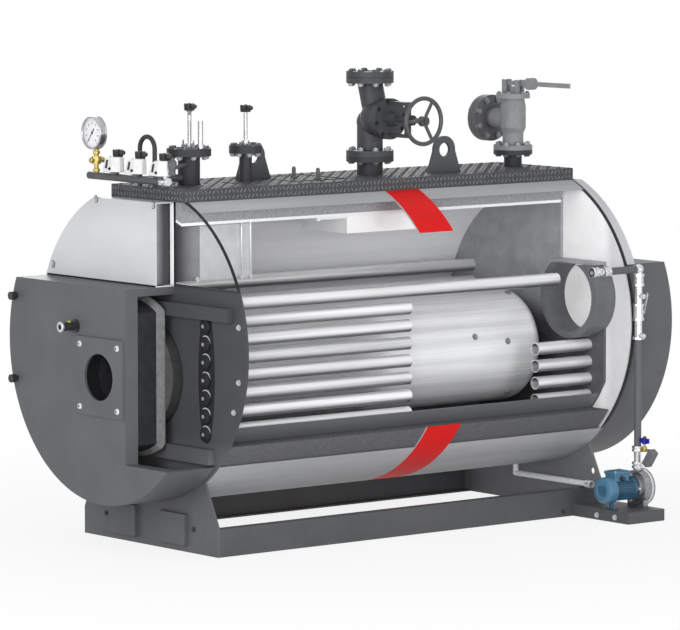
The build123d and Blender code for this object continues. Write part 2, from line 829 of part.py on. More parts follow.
# Spring safety valve with its outlet towards the far side and two guides for the lever
with BuildPart() as safety_valve:
    rod(0, safety_y, safety_low, up, safety_flange_r, safety_flange_t)
    rod(0, safety_y, safety_low, up, 50, outlet_rise - 65)
    taper(0, safety_y, outlet_z - 65, up, 50, 61, 25)
    rod(0, safety_y, outlet_z - 40, up, 61, 100)
    taper(0, safety_y, outlet_z + 60, up, 61, 53, bonnet_z - outlet_z - 60)
    rod(0, safety_y, outlet_z, to_far, 50, outlet_len - 42)
    rod(50 - outlet_len, safety_y, outlet_z, to_far, steam_flange_r, 24)
    rod(52 - outlet_len, safety_y, outlet_z, to_far, steam_flange_r - gasket_step, 32)
    rod(24 - outlet_len, safety_y, outlet_z, to_far, steam_flange_r, 24)
    rod(0, safety_y, bonnet_z, up, bonnet_r, bonnet_t)
    rod(0, safety_y, bonnet_z, up, 13, lever_z - bonnet_z - lever_h / 2 - lever_play)
    for x in (lever_pin_x, -lever_pin_x):
        for side in (-1, 1):
            cheek = safety_y + (lever_t / 2 + lever_play + cheek_t / 2) * side
            block(
                x - 14, x + 14, cheek - cheek_t / 2, cheek + cheek_t / 2,
                bonnet_z + bonnet_t, lever_z + 16,
            )
    rod(lever_pin_x, safety_y - 19, lever_z, to_rear, pin_r, 38)
    rod(-outlet_len - 8, safety_y, outlet_z, to_near, 40, 130, Mode.SUBTRACT)
    bolt_ring(-outlet_len - 8, safety_y, outlet_z, to_near, 66)
save(safety_valve.part, "safety_valve")

# Easing lever of the safety valve, hinged between two cheeks
with BuildPart() as safety_lever:
    block(
        lever_pin_x - 14, lever_end,
        safety_y - lever_t / 2, safety_y + lever_t / 2,
        lever_z - lever_h / 2, lever_z + lever_h / 2,
    )
    rod(128, safety_y - 20, lever_z, to_rear, 28, 40)
    rod(lever_pin_x, safety_y - 10, lever_z, to_rear, pin_r + pin_gap, 20, Mode.SUBTRACT)
save(safety_lever.part, "safety_lever")

# Instrument manifold ahead of the deck, joined to the level nozzle
with BuildPart() as manifold:
    rod(manifold_x0, manifold_y, manifold_z, to_near, pipe_r, manifold_len)
    rod(0, manifold_y, manifold_z, to_rear, pipe_r, level_y - manifold_y)
    rod(0, level_y, manifold_z - 2 * pipe_r, up, level_neck_r + gap, 4 * pipe_r, Mode.SUBTRACT)
save(manifold.part, "manifold")

# Siphon loop standing on the deck behind the switches
with BuildPart() as siphon:
    with Locations(Location((siphon_x, siphon_y, siphon_z), to_rear)):
        Torus(siphon_r, siphon_tube)
    block(
        siphon_x - 2 * siphon_r, siphon_x + 2 * siphon_r,
        siphon_y - 2 * siphon_tube, siphon_y + 2 * siphon_tube,
        siphon_z - 2 * siphon_r, siphon_z, mode=Mode.SUBTRACT,
    )
    for side in (-1, 1):
        rod(siphon_x + siphon_r * side, siphon_y, deck_top, up, siphon_tube, siphon_rise)
save(siphon.part, "siphon")

# Pressure gauge
with BuildPart() as gauge:
    rod(gauge_x, gauge_y, gauge_z, to_rear, gauge_r, gauge_t)
    rod(gauge_x, gauge_y, gauge_z, to_rear, dial_r, dial_depth, Mode.SUBTRACT)
save(gauge.part, "gauge")

# Brass gauge cock
with BuildPart() as gauge_cock:
    rod(gauge_x, manifold_y, manifold_z, up, 11, gauge_rise - gauge_r + 2)
    rod(gauge_x, manifold_y, manifold_z + 53, up, 20, 36)
    rod(gauge_x, manifold_y - 26, manifold_z + 71, to_rear, 11, 60)
    rod(gauge_x, gauge_y, gauge_z, to_rear, gauge_r + gap, 60, Mode.SUBTRACT)
    rod(manifold_x0, manifold_y, manifold_z, to_near, pipe_r + gap, manifold_len, Mode.SUBTRACT)
save(gauge_cock.part, "gauge_cock")

# Pressure switches on the manifold, narrower towards the top
with BuildPart() as pressure_switches:
    for x in switch_places:
        rod(x, manifold_y, manifold_z, up, 12, switch_rise)
        with BuildSketch(Plane.XY.offset(switch_z)):
            with Locations((x, manifold_y - 6)):
                Rectangle(switch_w, switch_d)
        with BuildSketch(Plane.XY.offset(switch_z + switch_h)):
            with Locations((x + switch_lean, manifold_y - 2)):
                Rectangle(switch_top_w, switch_top_d)
        loft()
    rod(manifold_x0, manifold_y, manifold_z, to_near, pipe_r + gap, manifold_len, Mode.SUBTRACT)
save(pressure_switches.part, "pressure_switches")

# Drain pipe from under the casing to the near side
with BuildPart() as drain_pipe:
    rod(0, drain_y, drain_z, up, drain_r, axis_z - casing_r - drain_z + 8)
    with Locations((0, drain_y, drain_z)):
        Sphere(drain_r)
    rod(0, drain_y, drain_z, to_near, drain_r, foot_half + drain_reach)
    rod(foot_half + drain_reach, drain_y, drain_z, to_far, union_r, union_len)
    rod(foot_half + drain_reach, drain_y, drain_z, to_far, drain_r - 3.5, union_len, Mode.SUBTRACT)
    drum(casing_r + gap, drain_y - 100, drain_y + 100, Mode.SUBTRACT)
save(drain_pipe.part, "drain_pipe")

# Pump platform, a tray upside down beside the near base channel
with BuildPart() as pump_platform:
    block(foot_half, platform_x1, platform_y0, platform_y1, 0, platform_h)
    block(
        foot_half + platform_t, platform_x1 - platform_t,
        platform_y0 + platform_t, platform_y1 - platform_t,
        0, platform_h - platform_t, mode=Mode.SUBTRACT,
    )
save(pump_platform.part, "pump_platform")

# Electric motor of the feed pump
with BuildPart() as pump_motor:
    rod(pump_x, pump_y, pump_z, to_front, motor_r, motor_len)
    rod(pump_x, pump_y - motor_len + 5, pump_z, to_front, cowl_r, cowl_len)
    block(pump_x - 36, pump_x + 36, pump_y - 130, pump_y - 40, pump_z + 30, pump_z + 81)
    block(pump_x - 40, pump_x + 40, pump_y - 134, pump_y - 36, pump_z + 73, pump_z + 89)
    block(pump_x - 8, pump_x + 8, pump_y - 128, pump_y - 112, platform_h, pump_z)
save(pump_motor.part, "pump_motor")

# Pump casing with its foot, suction spout and discharge neck
with BuildPart() as pump_casing:
    rod(pump_x, pump_y, pump_z, to_rear, casing_flange_r, casing_flange_t)
    rod(pump_x, pump_y + casing_flange_t, pump_z, to_rear, pump_r, pump_len)
    rod(pump_x, pump_y + casing_flange_t + pump_len, pump_z, to_rear, pump_rim_r, pump_rim_t)
    rod(pump_x, spout_y, pump_z, to_rear, spout_r, spout_len)
    rod(pump_x, riser_y, pump_z, up, 19, discharge_rise)
    block(pump_x - 55, pump_x + 55, pump_y + 30, pump_y + 60, platform_h, pump_z)
    rod(pump_x, spout_y + spout_len, pump_z, to_front, spout_bore_r, spout_len, Mode.SUBTRACT)
save(pump_casing.part, "pump_casing")

# Feed pipe up the side
with BuildPart() as feed_pipe:
    rod(pump_x, riser_y, check_top, up, pipe_r, stop_z - check_top)
    rod(pump_x, riser_y - elbow_len, riser_top, to_front, pipe_r, feed_run)
save(feed_pipe.part, "feed_pipe")

# Check valve, stop valve, elbow and union of the feed pipe
with BuildPart() as feed_valves:
    rod(pump_x, riser_y, discharge_z, up, pipe_r, check_len)
    rod(pump_x, riser_y, discharge_z, up, 21, 30)
    rod(pump_x, riser_y, discharge_z + 80, up, 21, check_len - 80)
    rod(pump_x, riser_y, stop_z, up, 18, stop_drop)
    rod(pump_x, riser_y, stop_z + 90, up, 23, 80)
    rod(pump_x, riser_y, stop_z + 20, to_near, 11, 40)
    rod(pump_x, riser_y, stop_z + 205, to_near, 11, 38)
    rod(pump_x, riser_y, stop_z + 250, up, 23, 60)
    with Locations((pump_x, riser_y, riser_top)):
        Sphere(23)
    rod(pump_x, riser_y, riser_top, to_front, 20, elbow_len)
    rod(pump_x, run_y, riser_top, to_front, pipe_r, union_run)
    rod(pump_x, run_y, riser_top, to_front, 21, 40)
    rod(pump_x, run_y - union_run + 40, riser_top, to_front, 21, 40)
    rod(pump_x, run_y - union_run, riser_top, to_rear, pipe_r - 5, 50, Mode.SUBTRACT)
save(feed_valves.part, "feed_valves")

# Brass tapping with a small switch box at its end
with BuildPart() as tapping:
    rod(pump_x, riser_y, tap_z, to_near, 8, 98)
    rod(tap_x, riser_y, tap_z - 8, up, 11, 30)
    rod(tap_x, riser_y, tap_z + 22, up, 5, 40)
    with Locations(Location((tap_x + 38, riser_y, tap_z - 35), (0, 35, 0))):
        Box(34, 40, 84)
    rod(pump_x, riser_y, discharge_z, up, 21 + gap, 2 * check_len, Mode.SUBTRACT)
save(tapping.part, "tapping")

# Blue wing handle on the tapping's stem
with BuildPart() as wing_handle:
    rod(tap_x, riser_y, tap_z + 28, up, 12, 26)
    block(tap_x - 27, tap_x + 27, riser_y - 6, riser_y + 6, tap_z + 32, tap_z + 54)
    rod(tap_x, riser_y, tap_z + 17, up, 5 + pin_gap, 50, Mode.SUBTRACT)
save(wing_handle.part, "wing_handle")
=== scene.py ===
import json
import math

import bmesh
import bpy
from mathutils import Matrix, Vector


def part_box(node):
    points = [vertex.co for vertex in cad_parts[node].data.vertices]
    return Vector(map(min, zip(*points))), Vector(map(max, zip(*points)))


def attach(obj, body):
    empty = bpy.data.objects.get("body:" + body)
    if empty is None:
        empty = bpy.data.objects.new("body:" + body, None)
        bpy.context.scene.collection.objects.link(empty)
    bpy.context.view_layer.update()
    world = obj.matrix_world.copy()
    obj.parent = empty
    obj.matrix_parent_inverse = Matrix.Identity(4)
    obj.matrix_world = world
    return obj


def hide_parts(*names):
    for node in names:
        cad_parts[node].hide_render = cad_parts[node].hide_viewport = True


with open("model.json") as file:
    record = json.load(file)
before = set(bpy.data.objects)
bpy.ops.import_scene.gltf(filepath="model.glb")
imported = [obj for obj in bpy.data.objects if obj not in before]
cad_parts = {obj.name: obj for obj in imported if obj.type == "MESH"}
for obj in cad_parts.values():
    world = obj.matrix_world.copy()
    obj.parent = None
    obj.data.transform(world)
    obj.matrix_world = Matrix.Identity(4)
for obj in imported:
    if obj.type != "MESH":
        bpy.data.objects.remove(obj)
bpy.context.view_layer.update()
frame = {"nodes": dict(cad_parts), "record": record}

bl_info = {
    "name": "Sectioned Steam Boiler",
    "version": (1, 0, 0),
    "blender": (4, 5, 0),
    "location": "View3D > Sidebar > Boiler",
    "description": "Dresses the sectioned fire-tube boiler with its finishes, fasteners, tread and instruments",
    "category": "Object",
}

TOP = Vector((0, 0, 1))
DOWN = Vector((0, 0, -1))
FRONT = Vector((0, -1, 0))
REAR = Vector((0, 1, 0))
NEAR = Vector((1, 0, 0))
FAR = Vector((-1, 0, 0))
CORNERS = ((-1, -1), (1, -1), (1, 1), (-1, 1))

# Lines that several pieces share, in metres: the mounts along the crown, the instruments on the manifold,
# the axes of furnace, burner and pump, and the feed pipe.
LEVEL_Y, PROBE_Y, STEAM_Y, SAFETY_Y = 0.218, 0.540, 1.268, 2.145
SWITCHES_X = (-0.202, -0.035, 0.144)
GAUGE_X, TEE_X = -0.342, 0.176
MANIFOLD_Y, MANIFOLD_Z = -0.045, 1.645
FURNACE_Z, BURNER_Z = 0.775, 0.777
TUBE_BANK_X = 0.42
PUMP_X, PUMP_Z, FEED_Y = 0.735, 0.145, 2.282

# Nodes whose finish is not the one of their slot.
OWN_FINISH = {
    "furnace": "furnace_plate", "stays": "boiler_plate_pale", "rear_tube_plate": "tube_plate_scale",
    "front_plate": "front_plate_coat", "rear_plate": "rear_plate_coat", "front_cover": "cover_coat",
    "base_beams": "base_coat", "pump_platform": "base_coat", "lifting_lugs": "base_coat",
    "nozzles": "nozzle_paint", "siphon": "nozzle_paint", "manifold": "manifold_paint",
    "sight_tube": "black_plastic", "steam_dryer": "dryer_enamel", "level_probes": "probe_steel",
    "feed_valves": "fitting_steel", "drain_pipe": "galvanised",
}
FINISHES = {}

# Rise of a face's normal where painted shade on downward faces starts and is full; how far painted bore shade
# fades past its radius.
LIT_RISE, SHADE_FULL_RISE, BORE_SHADE_RIM = 0.15, -0.75, 1.03

# Each lamp: name, place, point it looks at, watts and size.
LAMPS = (
    ("key", (3.0, -7.5, 3.2), (0, 0.8, 0.9), 300, 4.0),
    ("fill", (8.6, -6.4, 2.0), (0, 1.2, 0.9), 260, 3.0),
    ("top", (0.5, 1.2, 7.5), (0, 1.1, 0.9), 30, 5.0),
    ("side", (8.5, 1.2, 1.3), (0, 1.1, 1.0), 240, 4.0),
    ("low", (5.5, -4.5, 0.5), (0.0, 1.6, 0.2), 30, 2.0),
    ("back", (-7.0, 5.5, 3.5), (0, 1.1, 0.9), 260, 4.0),
)
WORLD_STRENGTH = 0.55
FLOOR_RADIUS = 60
CAMERA_SPOT = (16.896, -12.608, 3.139)
SENSOR_MM = 36
VIEW_DEPTH = 120


def linear(hex_code):
    """sRGB hex to the linear RGBA that shader sockets take."""
    parts = [int(hex_code[i:i + 2], 16) / 255 for i in (1, 3, 5)]
    return tuple(c / 12.92 if c <= 0.04045 else ((c + 0.055) / 1.055) ** 2.4 for c in parts) + (1.0,)


def add(tree, kind, inputs=None, **settings):
    """Adds a node with its settings, and sets or links its inputs."""
    made = tree.nodes.new(kind)
    for key, value in settings.items():
        setattr(made, key, value)
    for key, value in (inputs or {}).items():
        if isinstance(value, bpy.types.NodeSocket):
            tree.links.new(value, made.inputs[key])
        else:
            made.inputs[key].default_value = value
    return made


def per_metre(size_mm):
    """Noise scale that gives features of about this size."""
    return 1000.0 / size_mm


def new_material(name):
    """Empty node material with its output, and Object coordinates."""
    made = bpy.data.materials.new(name)
    made.use_nodes = True
    tree = made.node_tree
    tree.nodes.clear()
    output = tree.nodes.new("ShaderNodeOutputMaterial")
    where = tree.nodes.new("ShaderNodeTexCoord").outputs["Object"]
    return made, tree, output, where


def clouds(tree, drawn, size_mm, light, dark, detail, rough):
    """Soft clouds between two colours: the noise, and the colour it gives."""
    cloud = add(tree, "ShaderNodeTexNoise", {
        "Vector": drawn, "Scale": per_metre(size_mm), "Detail": detail, "Roughness": rough}).outputs["Fac"]
    tint = add(tree, "ShaderNodeValToRGB", {"Fac": cloud})
    for stop, position, shade in zip(tint.color_ramp.elements, (0.3, 0.7), (dark, light)):
        stop.position = position
        stop.color = linear(shade)
    return cloud, tint.outputs["Color"]


def darkened(tree, colour, value, start, end, shade, ease="SMOOTHSTEP"):
    """The colour, times a shade that comes in while a value goes from start to end."""
    share = add(tree, "ShaderNodeMapRange", {
        "Value": value, "From Min": start, "From Max": end}, interpolation_type=ease)
    return add(tree, "ShaderNodeMix", {
        "Factor": share.outputs["Result"], 6: colour, 7: linear(shade)},
        data_type="RGBA", blend_type="MULTIPLY").outputs[2]


def skin(tree, output, drawn, colour, grain_mm, gloss, relief, depth, sockets):
    """Closes a material: a fine grain that gives uneven gloss and a relief."""
    grain = add(tree, "ShaderNodeTexNoise", {
        "Vector": drawn, "Scale": per_metre(grain_mm), "Detail": 2.0}).outputs["Fac"]
    rough = add(tree, "ShaderNodeMapRange", {"Value": grain, **gloss})
    bump = add(tree, "ShaderNodeBump", {"Strength": relief, "Distance": depth, "Height": grain})
    shader = add(tree, "ShaderNodeBsdfPrincipled", {
        "Base Color": colour, "Roughness": rough.outputs["Result"], "Normal": bump.outputs["Normal"],
        **sockets})
    tree.links.new(shader.outputs["BSDF"], output.inputs["Surface"])


def coated(name, light, dark, cloud_mm, rough, grain_mm, relief,
           metallic=0.0, coat=0.0, stretch=(1, 1, 1), gleam=0.5, fades=(), underside_shade=None, bore_shade=None):
    """A surface with soft clouds of colour, uneven gloss and a fine relief.

    Each fade is (axis, from, to, shade): along that axis the shade comes in between two places.
    The underside shade is a painted shade on faces that look down.
    The bore shade is (middle, radius, shade): painted shade that darkens what lies within a radius of an axis
    along Y.
    """
    made, tree, output, where = new_material(name)
    drawn = add(tree, "ShaderNodeMapping", {"Vector": where, "Scale": stretch}).outputs["Vector"]
    colour = clouds(tree, drawn, cloud_mm, light, dark, detail=5.0, rough=0.6)[1]
    shades = [(where, *fade) for fade in fades]
    # Painted shade that comes in as faces turn down, full on faces that look well down.
    if underside_shade:
        facing = tree.nodes.new("ShaderNodeNewGeometry").outputs["Normal"]
        shades.append((facing, "Z", LIT_RISE, SHADE_FULL_RISE, underside_shade))
    for vector, axis, start, end, shade in shades:
        along = add(tree, "ShaderNodeSeparateXYZ", {"Vector": vector}).outputs[axis]
        colour = darkened(tree, colour, along, start, end, shade)
    # Painted shade inside a bore along Y, fading out just past its radius.
    if bore_shade:
        middle, radius, shade = bore_shade
        flat = add(tree, "ShaderNodeVectorMath", {0: where, 1: (1, 0, 1)}, operation="MULTIPLY")
        away = add(tree, "ShaderNodeVectorMath", {0: flat.outputs["Vector"], 1: middle}, operation="DISTANCE")
        colour = darkened(tree, colour, away.outputs["Value"], radius * BORE_SHADE_RIM, radius, shade, "LINEAR")
    gloss = {"From Min": 0.25, "From Max": 0.75, "To Min": max(rough - 0.06, 0.02), "To Max": rough + 0.06}
    sockets = {"Metallic": metallic, "Coat Weight": coat, "Specular IOR Level": gleam}
    skin(tree, output, drawn, colour, grain_mm, gloss, relief, depth=0.0006, sockets=sockets)
    return made


def casing_sheet(name, hoop_from, hoop_to, hoop_colour):
    """Coated casing sheet with one hoop of red paint around it."""
    made, tree, output, where = new_material(name)
    along = add(tree, "ShaderNodeSeparateXYZ", {"Vector": where}).outputs["Y"]
    past = add(tree, "ShaderNodeMath", {0: along, 1: hoop_from}, operation="GREATER_THAN").outputs[0]
    before = add(tree, "ShaderNodeMath", {0: along, 1: hoop_to}, operation="LESS_THAN").outputs[0]
    hoop = add(tree, "ShaderNodeMath", {0: past, 1: before}, operation="MULTIPLY").outputs[0]
    drawn = add(tree, "ShaderNodeMapping", {"Vector": where, "Scale": (1, 0.12, 1)}).outputs["Vector"]
    cloud, sheet = clouds(tree, drawn, 90, "#b0b1b3", "#a2a3a5", detail=4.0, rough=0.5)
    shade = add(tree, "ShaderNodeMapRange", {"Value": cloud, "To Min": 0.82, "To Max": 1.12})
    band = add(tree, "ShaderNodeVectorMath", {
        0: hoop_colour, "Scale": shade.outputs["Result"]}, operation="SCALE")
    colour = add(tree, "ShaderNodeMix", {
        "Factor": hoop, 6: sheet, 7: band.outputs["Vector"]}, data_type="RGBA").outputs[2]
    skin(tree, output, drawn, colour, grain_mm=4, gloss={"To Min": 0.5, "To Max": 0.62},
         relief=0.08, depth=0.0005, sockets={"Specular IOR Level": 0.15})
    return made


def make_finishes(settings):
    """All finishes by slot name.

    A row of coated() holds its name, the light and dark colour, the size of the clouds in mm, the
    roughness, the size of the grain in mm and the strength of the relief, then what is special to it.
    """
    return {
        # Satin powder coat on the covers and dark fittings: even dark grey, soft sheen, fine orange peel.
        "dark_paint": coated("satin_powder_coat_grey", "#5e5f61", "#555658", 260, 0.5, 6, 0.10, gleam=0.25),
        # Same coat on the front cover, with painted shade darkening the burner passage.
        "cover_coat": coated(
            "front_cover_coat", "#5e5f61", "#555658", 260, 0.5, 6, 0.10, gleam=0.25,
            bore_shade=((0, 0, BURNER_Z), 0.118, "#6a6a6c")),
        # Thicker coat of the same grey on the base: a little darker, with a coarser peel.
        "base_coat": coated("base_powder_coat_grey", "#535456", "#4a4b4d", 220, 0.52, 8, 0.14, gleam=0.25),
        # Same coat on the front tube plate, duller above the feet and much darker on the rim at the top.
        "front_plate_coat": coated(
            "front_plate_coat", "#5e5f61", "#545557", 200, 0.5, 6, 0.12, gleam=0.25,
            fades=(("Z", 1.17, 1.2, "#6c6c6e"), ("Z", 0.42, 0.54, "#c6c6c8"))),
        # Same coat, paler, on the rear end plate, darker above its foot.
        "rear_plate_coat": coated(
            "rear_plate_coat", "#7d7e80", "#727375", 200, 0.5, 6, 0.12, gleam=0.25,
            fades=(("Z", 0.36, 0.44, "#58585a"),)),
        # Brushed dark enamel on the crown nozzles: nearly black, with little shine.
        "nozzle_paint": coated("dark_nozzle_enamel", "#323335", "#2b2c2e", 60, 0.52, 4, 0.2, gleam=0.3),
        # Dark pipe enamel on the manifold, slightly paler than the nozzles.
        "manifold_paint": coated("dark_pipe_enamel", "#515254", "#47484a", 60, 0.48, 4, 0.15, gleam=0.3),
        # Pressed ceramic fibre board: dull, flecked, no shine.
        "fibre_dark": coated("ceramic_fibre_board", "#303134", "#232426", 40, 0.9, 5, 0.5, gleam=0.2),
        # Cast refractory: pale grey, sandy and pitted, darker behind its front face.
        "refractory": coated(
            "cast_refractory", "#8d8d8d", "#747475", 30, 0.88, 4, 0.6, gleam=0.2,
            fades=(("Y", -0.062, -0.052, "#777779"),)),
        # Moulded black nylon: deep, slightly greasy sheen.
        "black_plastic": coated("moulded_black_nylon", "#2b2b2d", "#232325", 50, 0.45, 3, 0.15),
        # Gloss white enamel on folded sheet: clean, with a soft reflection, a touch greyer at the top.
        "white_paint": coated(
            "white_enamel", "#cfd0d1", "#c5c6c7", 300, 0.36, 8, 0.06, gleam=0.35,
            fades=(("Z", 1.40, 1.60, "#eaeaeb"),)),
        # Primer inside the folded panel: mid grey in front, darker where no light comes in.
        "panel_inside": coated(
            "panel_inside_primer", "#97989a", "#8a8b8d", 60, 0.5, 5, 0.10, gleam=0.3,
            fades=(("Y", -0.085, -0.035, "#6e6e70"),)),
        # Baked white enamel of the steam dryer box and the panel's back lip: bright, with a faint mottling.
        "dryer_enamel": coated("baked_white_enamel", "#fafafa", "#f0f0f1", 90, 0.45, 6, 0.05, gleam=0.3),
        # Coated steel sheet of the casing: pale, rolled grain along the boiler, with a painted hoop.
        "grey_sheet": casing_sheet(
            "coated_casing_sheet", settings.hoop_start, settings.hoop_start + settings.hoop_width,
            tuple(settings.hoop_colour)),
        # Pressed mineral wool: dull grey felt with finer dark fibres, darker near the bottom.
        "wool": coated(
            "pressed_mineral_wool", "#a4a5a7", "#8c8d8f", 14, 0.95, 3, 0.7, gleam=0.1,
            fades=(("Z", 0.98, 0.88, "#a9a9ab"),)),
        # Blast-cleaned boiler plate: pale satin grey with fine long scratches, darker near the bottom.
        "boiler_plate": coated(
            "blast_cleaned_boiler_plate", "#fafafb", "#e9eaec", 120, 0.42, 4, 0.10,
            stretch=(1, 0.06, 1), gleam=0.4, fades=(("Z", 0.70, 0.60, "#77787a"),)),
        # Shot-blasted stay plate: pale grey and even, with painted shade in the front chamber, stepping in at
        # its edge and deepening towards the front plate.
        "boiler_plate_pale": coated(
            "shot_blasted_plate", "#c4c5c7", "#b4b5b7", 60, 0.5, 3, 0.12, gleam=0.35,
            fades=(("Y", 0.1485, 0.1480, "#b4b4b6"), ("Y", 0.135, 0.004, "#48484a"))),
        # Primed boiler plate: dark, dense and almost matt.
        "boiler_plate_dark": coated("primed_boiler_plate", "#6c6d70", "#5c5d60", 160, 0.5, 5, 0.12, gleam=0.3),
        # Mill scale on the rear tube plate: mid grey, cloudy and nearly matt, darker towards the bottom.
        "tube_plate_scale": coated(
            "tube_plate_mill_scale", "#a9aaac", "#949597", 90, 0.5, 5, 0.15, gleam=0.3,
            fades=(("Z", 1.02, 0.86, "#8c8c8e"),)),
        # White calcium silicate board: chalky with a faint mottling, greyer towards its outer edge.
        "white_board": coated(
            "calcium_silicate_board", "#ffffff", "#f6f6f6", 80, 0.6, 3, 0.12, gleam=0.3,
            fades=(("X", 0.50, 0.58, "#dfdfe0"),)),
        # Light grey enamel on the rear panel: smooth, with a soft shine.
        "light_grey_paint": coated("light_grey_enamel", "#c2c3c5", "#b6b7b9", 260, 0.38, 7, 0.08, gleam=0.35),
        # Galvanised steel of the flue spigot, the drain pipe and the burner screws: near white, smooth.
        "galvanised": coated("pale_galvanised_sheet", "#e6e7e8", "#d6d7d9", 22, 0.42, 6, 0.06, metallic=0.1),
        # Ground probe rod: darker bright steel with soft vertical glints.
        "probe_steel": coated(
            "ground_probe_steel", "#b9babc", "#808183", 8, 0.26, 3, 0.05,
            metallic=0.7, stretch=(1, 1, 0.05)),
        # Drawn bright steel tube: white glints and grey streaks along the length, and painted shade on faces
        # that look down.
        "bright_steel": coated(
            "drawn_bright_steel", "#ffffff", "#b4b5b7", 34, 0.22, 5, 0.05,
            metallic=0.2, coat=0.3, stretch=(1, 0.015, 1), underside_shade="#6c6c70"),
        # Polished furnace plate: almost white, with faint long streaks from the roller.
        "furnace_plate": coated(
            "polished_furnace_plate", "#ffffff", "#d2d3d5", 46, 0.3, 5, 0.04,
            metallic=0.1, coat=0.4, stretch=(1, 0.012, 1)),
        # Painted chequer plate: dark grey, worn smooth.
        "tread_plate": coated("painted_tread_plate", "#4d4e50", "#424345", 140, 0.62, 5, 0.15, gleam=0.16),
        # Worn crests of the chequer plate: the paint is rubbed down to pale steel, and the pale crests also
        # stand for their highlights as a painted highlight.
        "tread_worn_highlit": coated("worn_highlit_tread_crest", "#808183", "#626365", 9, 0.45, 3, 0.12, metallic=0.2),
        # Grey iron casting under paint: dark with a sandy skin.
        "cast_grey": coated("painted_grey_casting", "#3f4042", "#363739", 50, 0.52, 4, 0.35, gleam=0.35),
        # Dark enamel on the handwheel: smooth, with a soft shine.
        "wheel_paint": coated("dark_wheel_enamel", "#4a4b4d", "#3f4042", 40, 0.4, 4, 0.12, gleam=0.4),
        # Light grey enamel on a steel casting, darker on the outlet side.
        "cast_light": coated(
            "light_grey_casting", "#8c8d8e", "#7e7f80", 50, 0.5, 4, 0.3, gleam=0.35,
            fades=(("X", -0.10, -0.14, "#b4b4b6"),)),
        # Phosphated flange nuts: mid grey, half matt, with small soft glints.
        "nut_steel": coated("phosphated_nut_steel", "#97989a", "#7b7c7e", 8, 0.42, 2, 0.1, metallic=0.3),
        # Polished stainless gauge case: cool grey with soft bands.
        "gauge_case": coated("polished_gauge_case", "#bcbdbf", "#a5a6a8", 30, 0.24, 3, 0.04, metallic=0.9),
        # Turned brass: warm yellow with a soft machined glow.
        "brass": coated("turned_brass", "#b9a86a", "#a08b4a", 20, 0.34, 2, 0.08, metallic=0.6),
        # Moulded white ABS of the switches: smooth, slightly warm.
        "white_plastic": coated("moulded_white_abs", "#dededd", "#d2d2d1", 40, 0.45, 3, 0.08, gleam=0.35),
        # Blue machine enamel on the motor: glossy over a cast skin.
        "blue_paint": coated("blue_machine_enamel", "#3a617a", "#32556c", 60, 0.42, 3, 0.12, gleam=0.4),
        # Same enamel on the smooth cowl and terminal box, made paler as painted light, since these smooth faces
        # look paler.
        "blue_lid_lit": coated("blue_enamel_lit_copy", "#4c7893", "#446d87", 50, 0.42, 4, 0.06, gleam=0.4),
        # Cast stainless steel of the pump and pipe fittings: grey metal with a grainy skin.
        "pump_steel": coated("cast_stainless", "#a3a4a7", "#77787b", 14, 0.32, 3, 0.2, metallic=0.85),
        # Polished stainless pipe fittings: bright, with sharp dark and white bands.
        "fitting_steel": coated("polished_fitting_steel", "#e2e3e4", "#b2b3b5", 12, 0.2, 3, 0.1, metallic=0.85),
        # Gloss blue plastic of the wing handle: deep and even, with a clear highlight.
        "blue_plastic": coated("gloss_blue_plastic", "#140f96", "#0f0a7c", 20, 0.34, 2, 0.05, gleam=0.35),
        # Zinc plated bolts and nuts: bright, slightly cloudy.
        "zinc": coated("zinc_plated_steel", "#d9dadb", "#b4b5b7", 8, 0.3, 2, 0.08, metallic=0.7),
        # Printed dial sheet: matt white.
        "dial": coated("printed_dial_white", "#e9e8ea", "#e0dfe1", 20, 0.5, 2, 0.02, gleam=0.3),
        # Black print and hand of the dial: flat and even.
        "ink": coated("black_dial_print", "#1c1c1e", "#151517", 10, 0.5, 2, 0.02),
        # Yellow-green inspection lens of the sight tube: glossy, with a sharp highlight.
        "lens": coated("yellow_green_lens", "#a8b23c", "#8f9a2c", 6, 0.15, 2, 0.02),
        # Dark rubber of gaskets, caps and seals: dull and nearly black.
        "rubber": coated("black_rubber_gasket", "#262628", "#1b1b1d", 12, 0.7, 2, 0.2, gleam=0.2),
        # Grey moulded nylon of the small switch box: even, with a faint grain.
        "grey_plastic": coated("grey_moulded_nylon", "#6f7072", "#626365", 14, 0.5, 2, 0.12, gleam=0.3),
    }


class BoilerFinishes(bpy.types.PropertyGroup):
    """Place and colour of the painted hoop on the casing."""
    hoop_start: bpy.props.FloatProperty(
        name="Hoop Start", description="Front edge of the red hoop along the boiler",
        default=1.13, unit="LENGTH")
    hoop_width: bpy.props.FloatProperty(
        name="Hoop Width", description="Width of the red hoop", default=0.2, min=0.02, unit="LENGTH")
    hoop_colour: bpy.props.FloatVectorProperty(
        name="Hoop Colour", description="Paint of the hoop", default=linear("#d81413")[:3],
        min=0.0, max=1.0, subtype="COLOR")


class BoilerFasteners(bpy.types.PropertyGroup):
    """Sizes of the bolts, the tread pattern and the motor's fins."""
    flange_bolt: bpy.props.FloatProperty(
        name="Flange Bolt", description="Width across the flats of the flange bolts",
        default=0.024, unit="LENGTH")
    small_bolt: bpy.props.FloatProperty(
        name="Small Bolt", description="Width across the flats of cover and panel bolts",
        default=0.017, unit="LENGTH")
    tread_pitch: bpy.props.FloatProperty(
        name="Tread Pitch", description="Spacing of the raised lozenges on the deck",
        default=0.032, unit="LENGTH")
    tread_length: bpy.props.FloatProperty(
        name="Tread Length", description="Length of one raised lozenge", default=0.028, unit="LENGTH")
    fin_count: bpy.props.IntProperty(
        name="Motor Fins", description="Number of cooling fins around the motor", default=30, min=8, max=60)


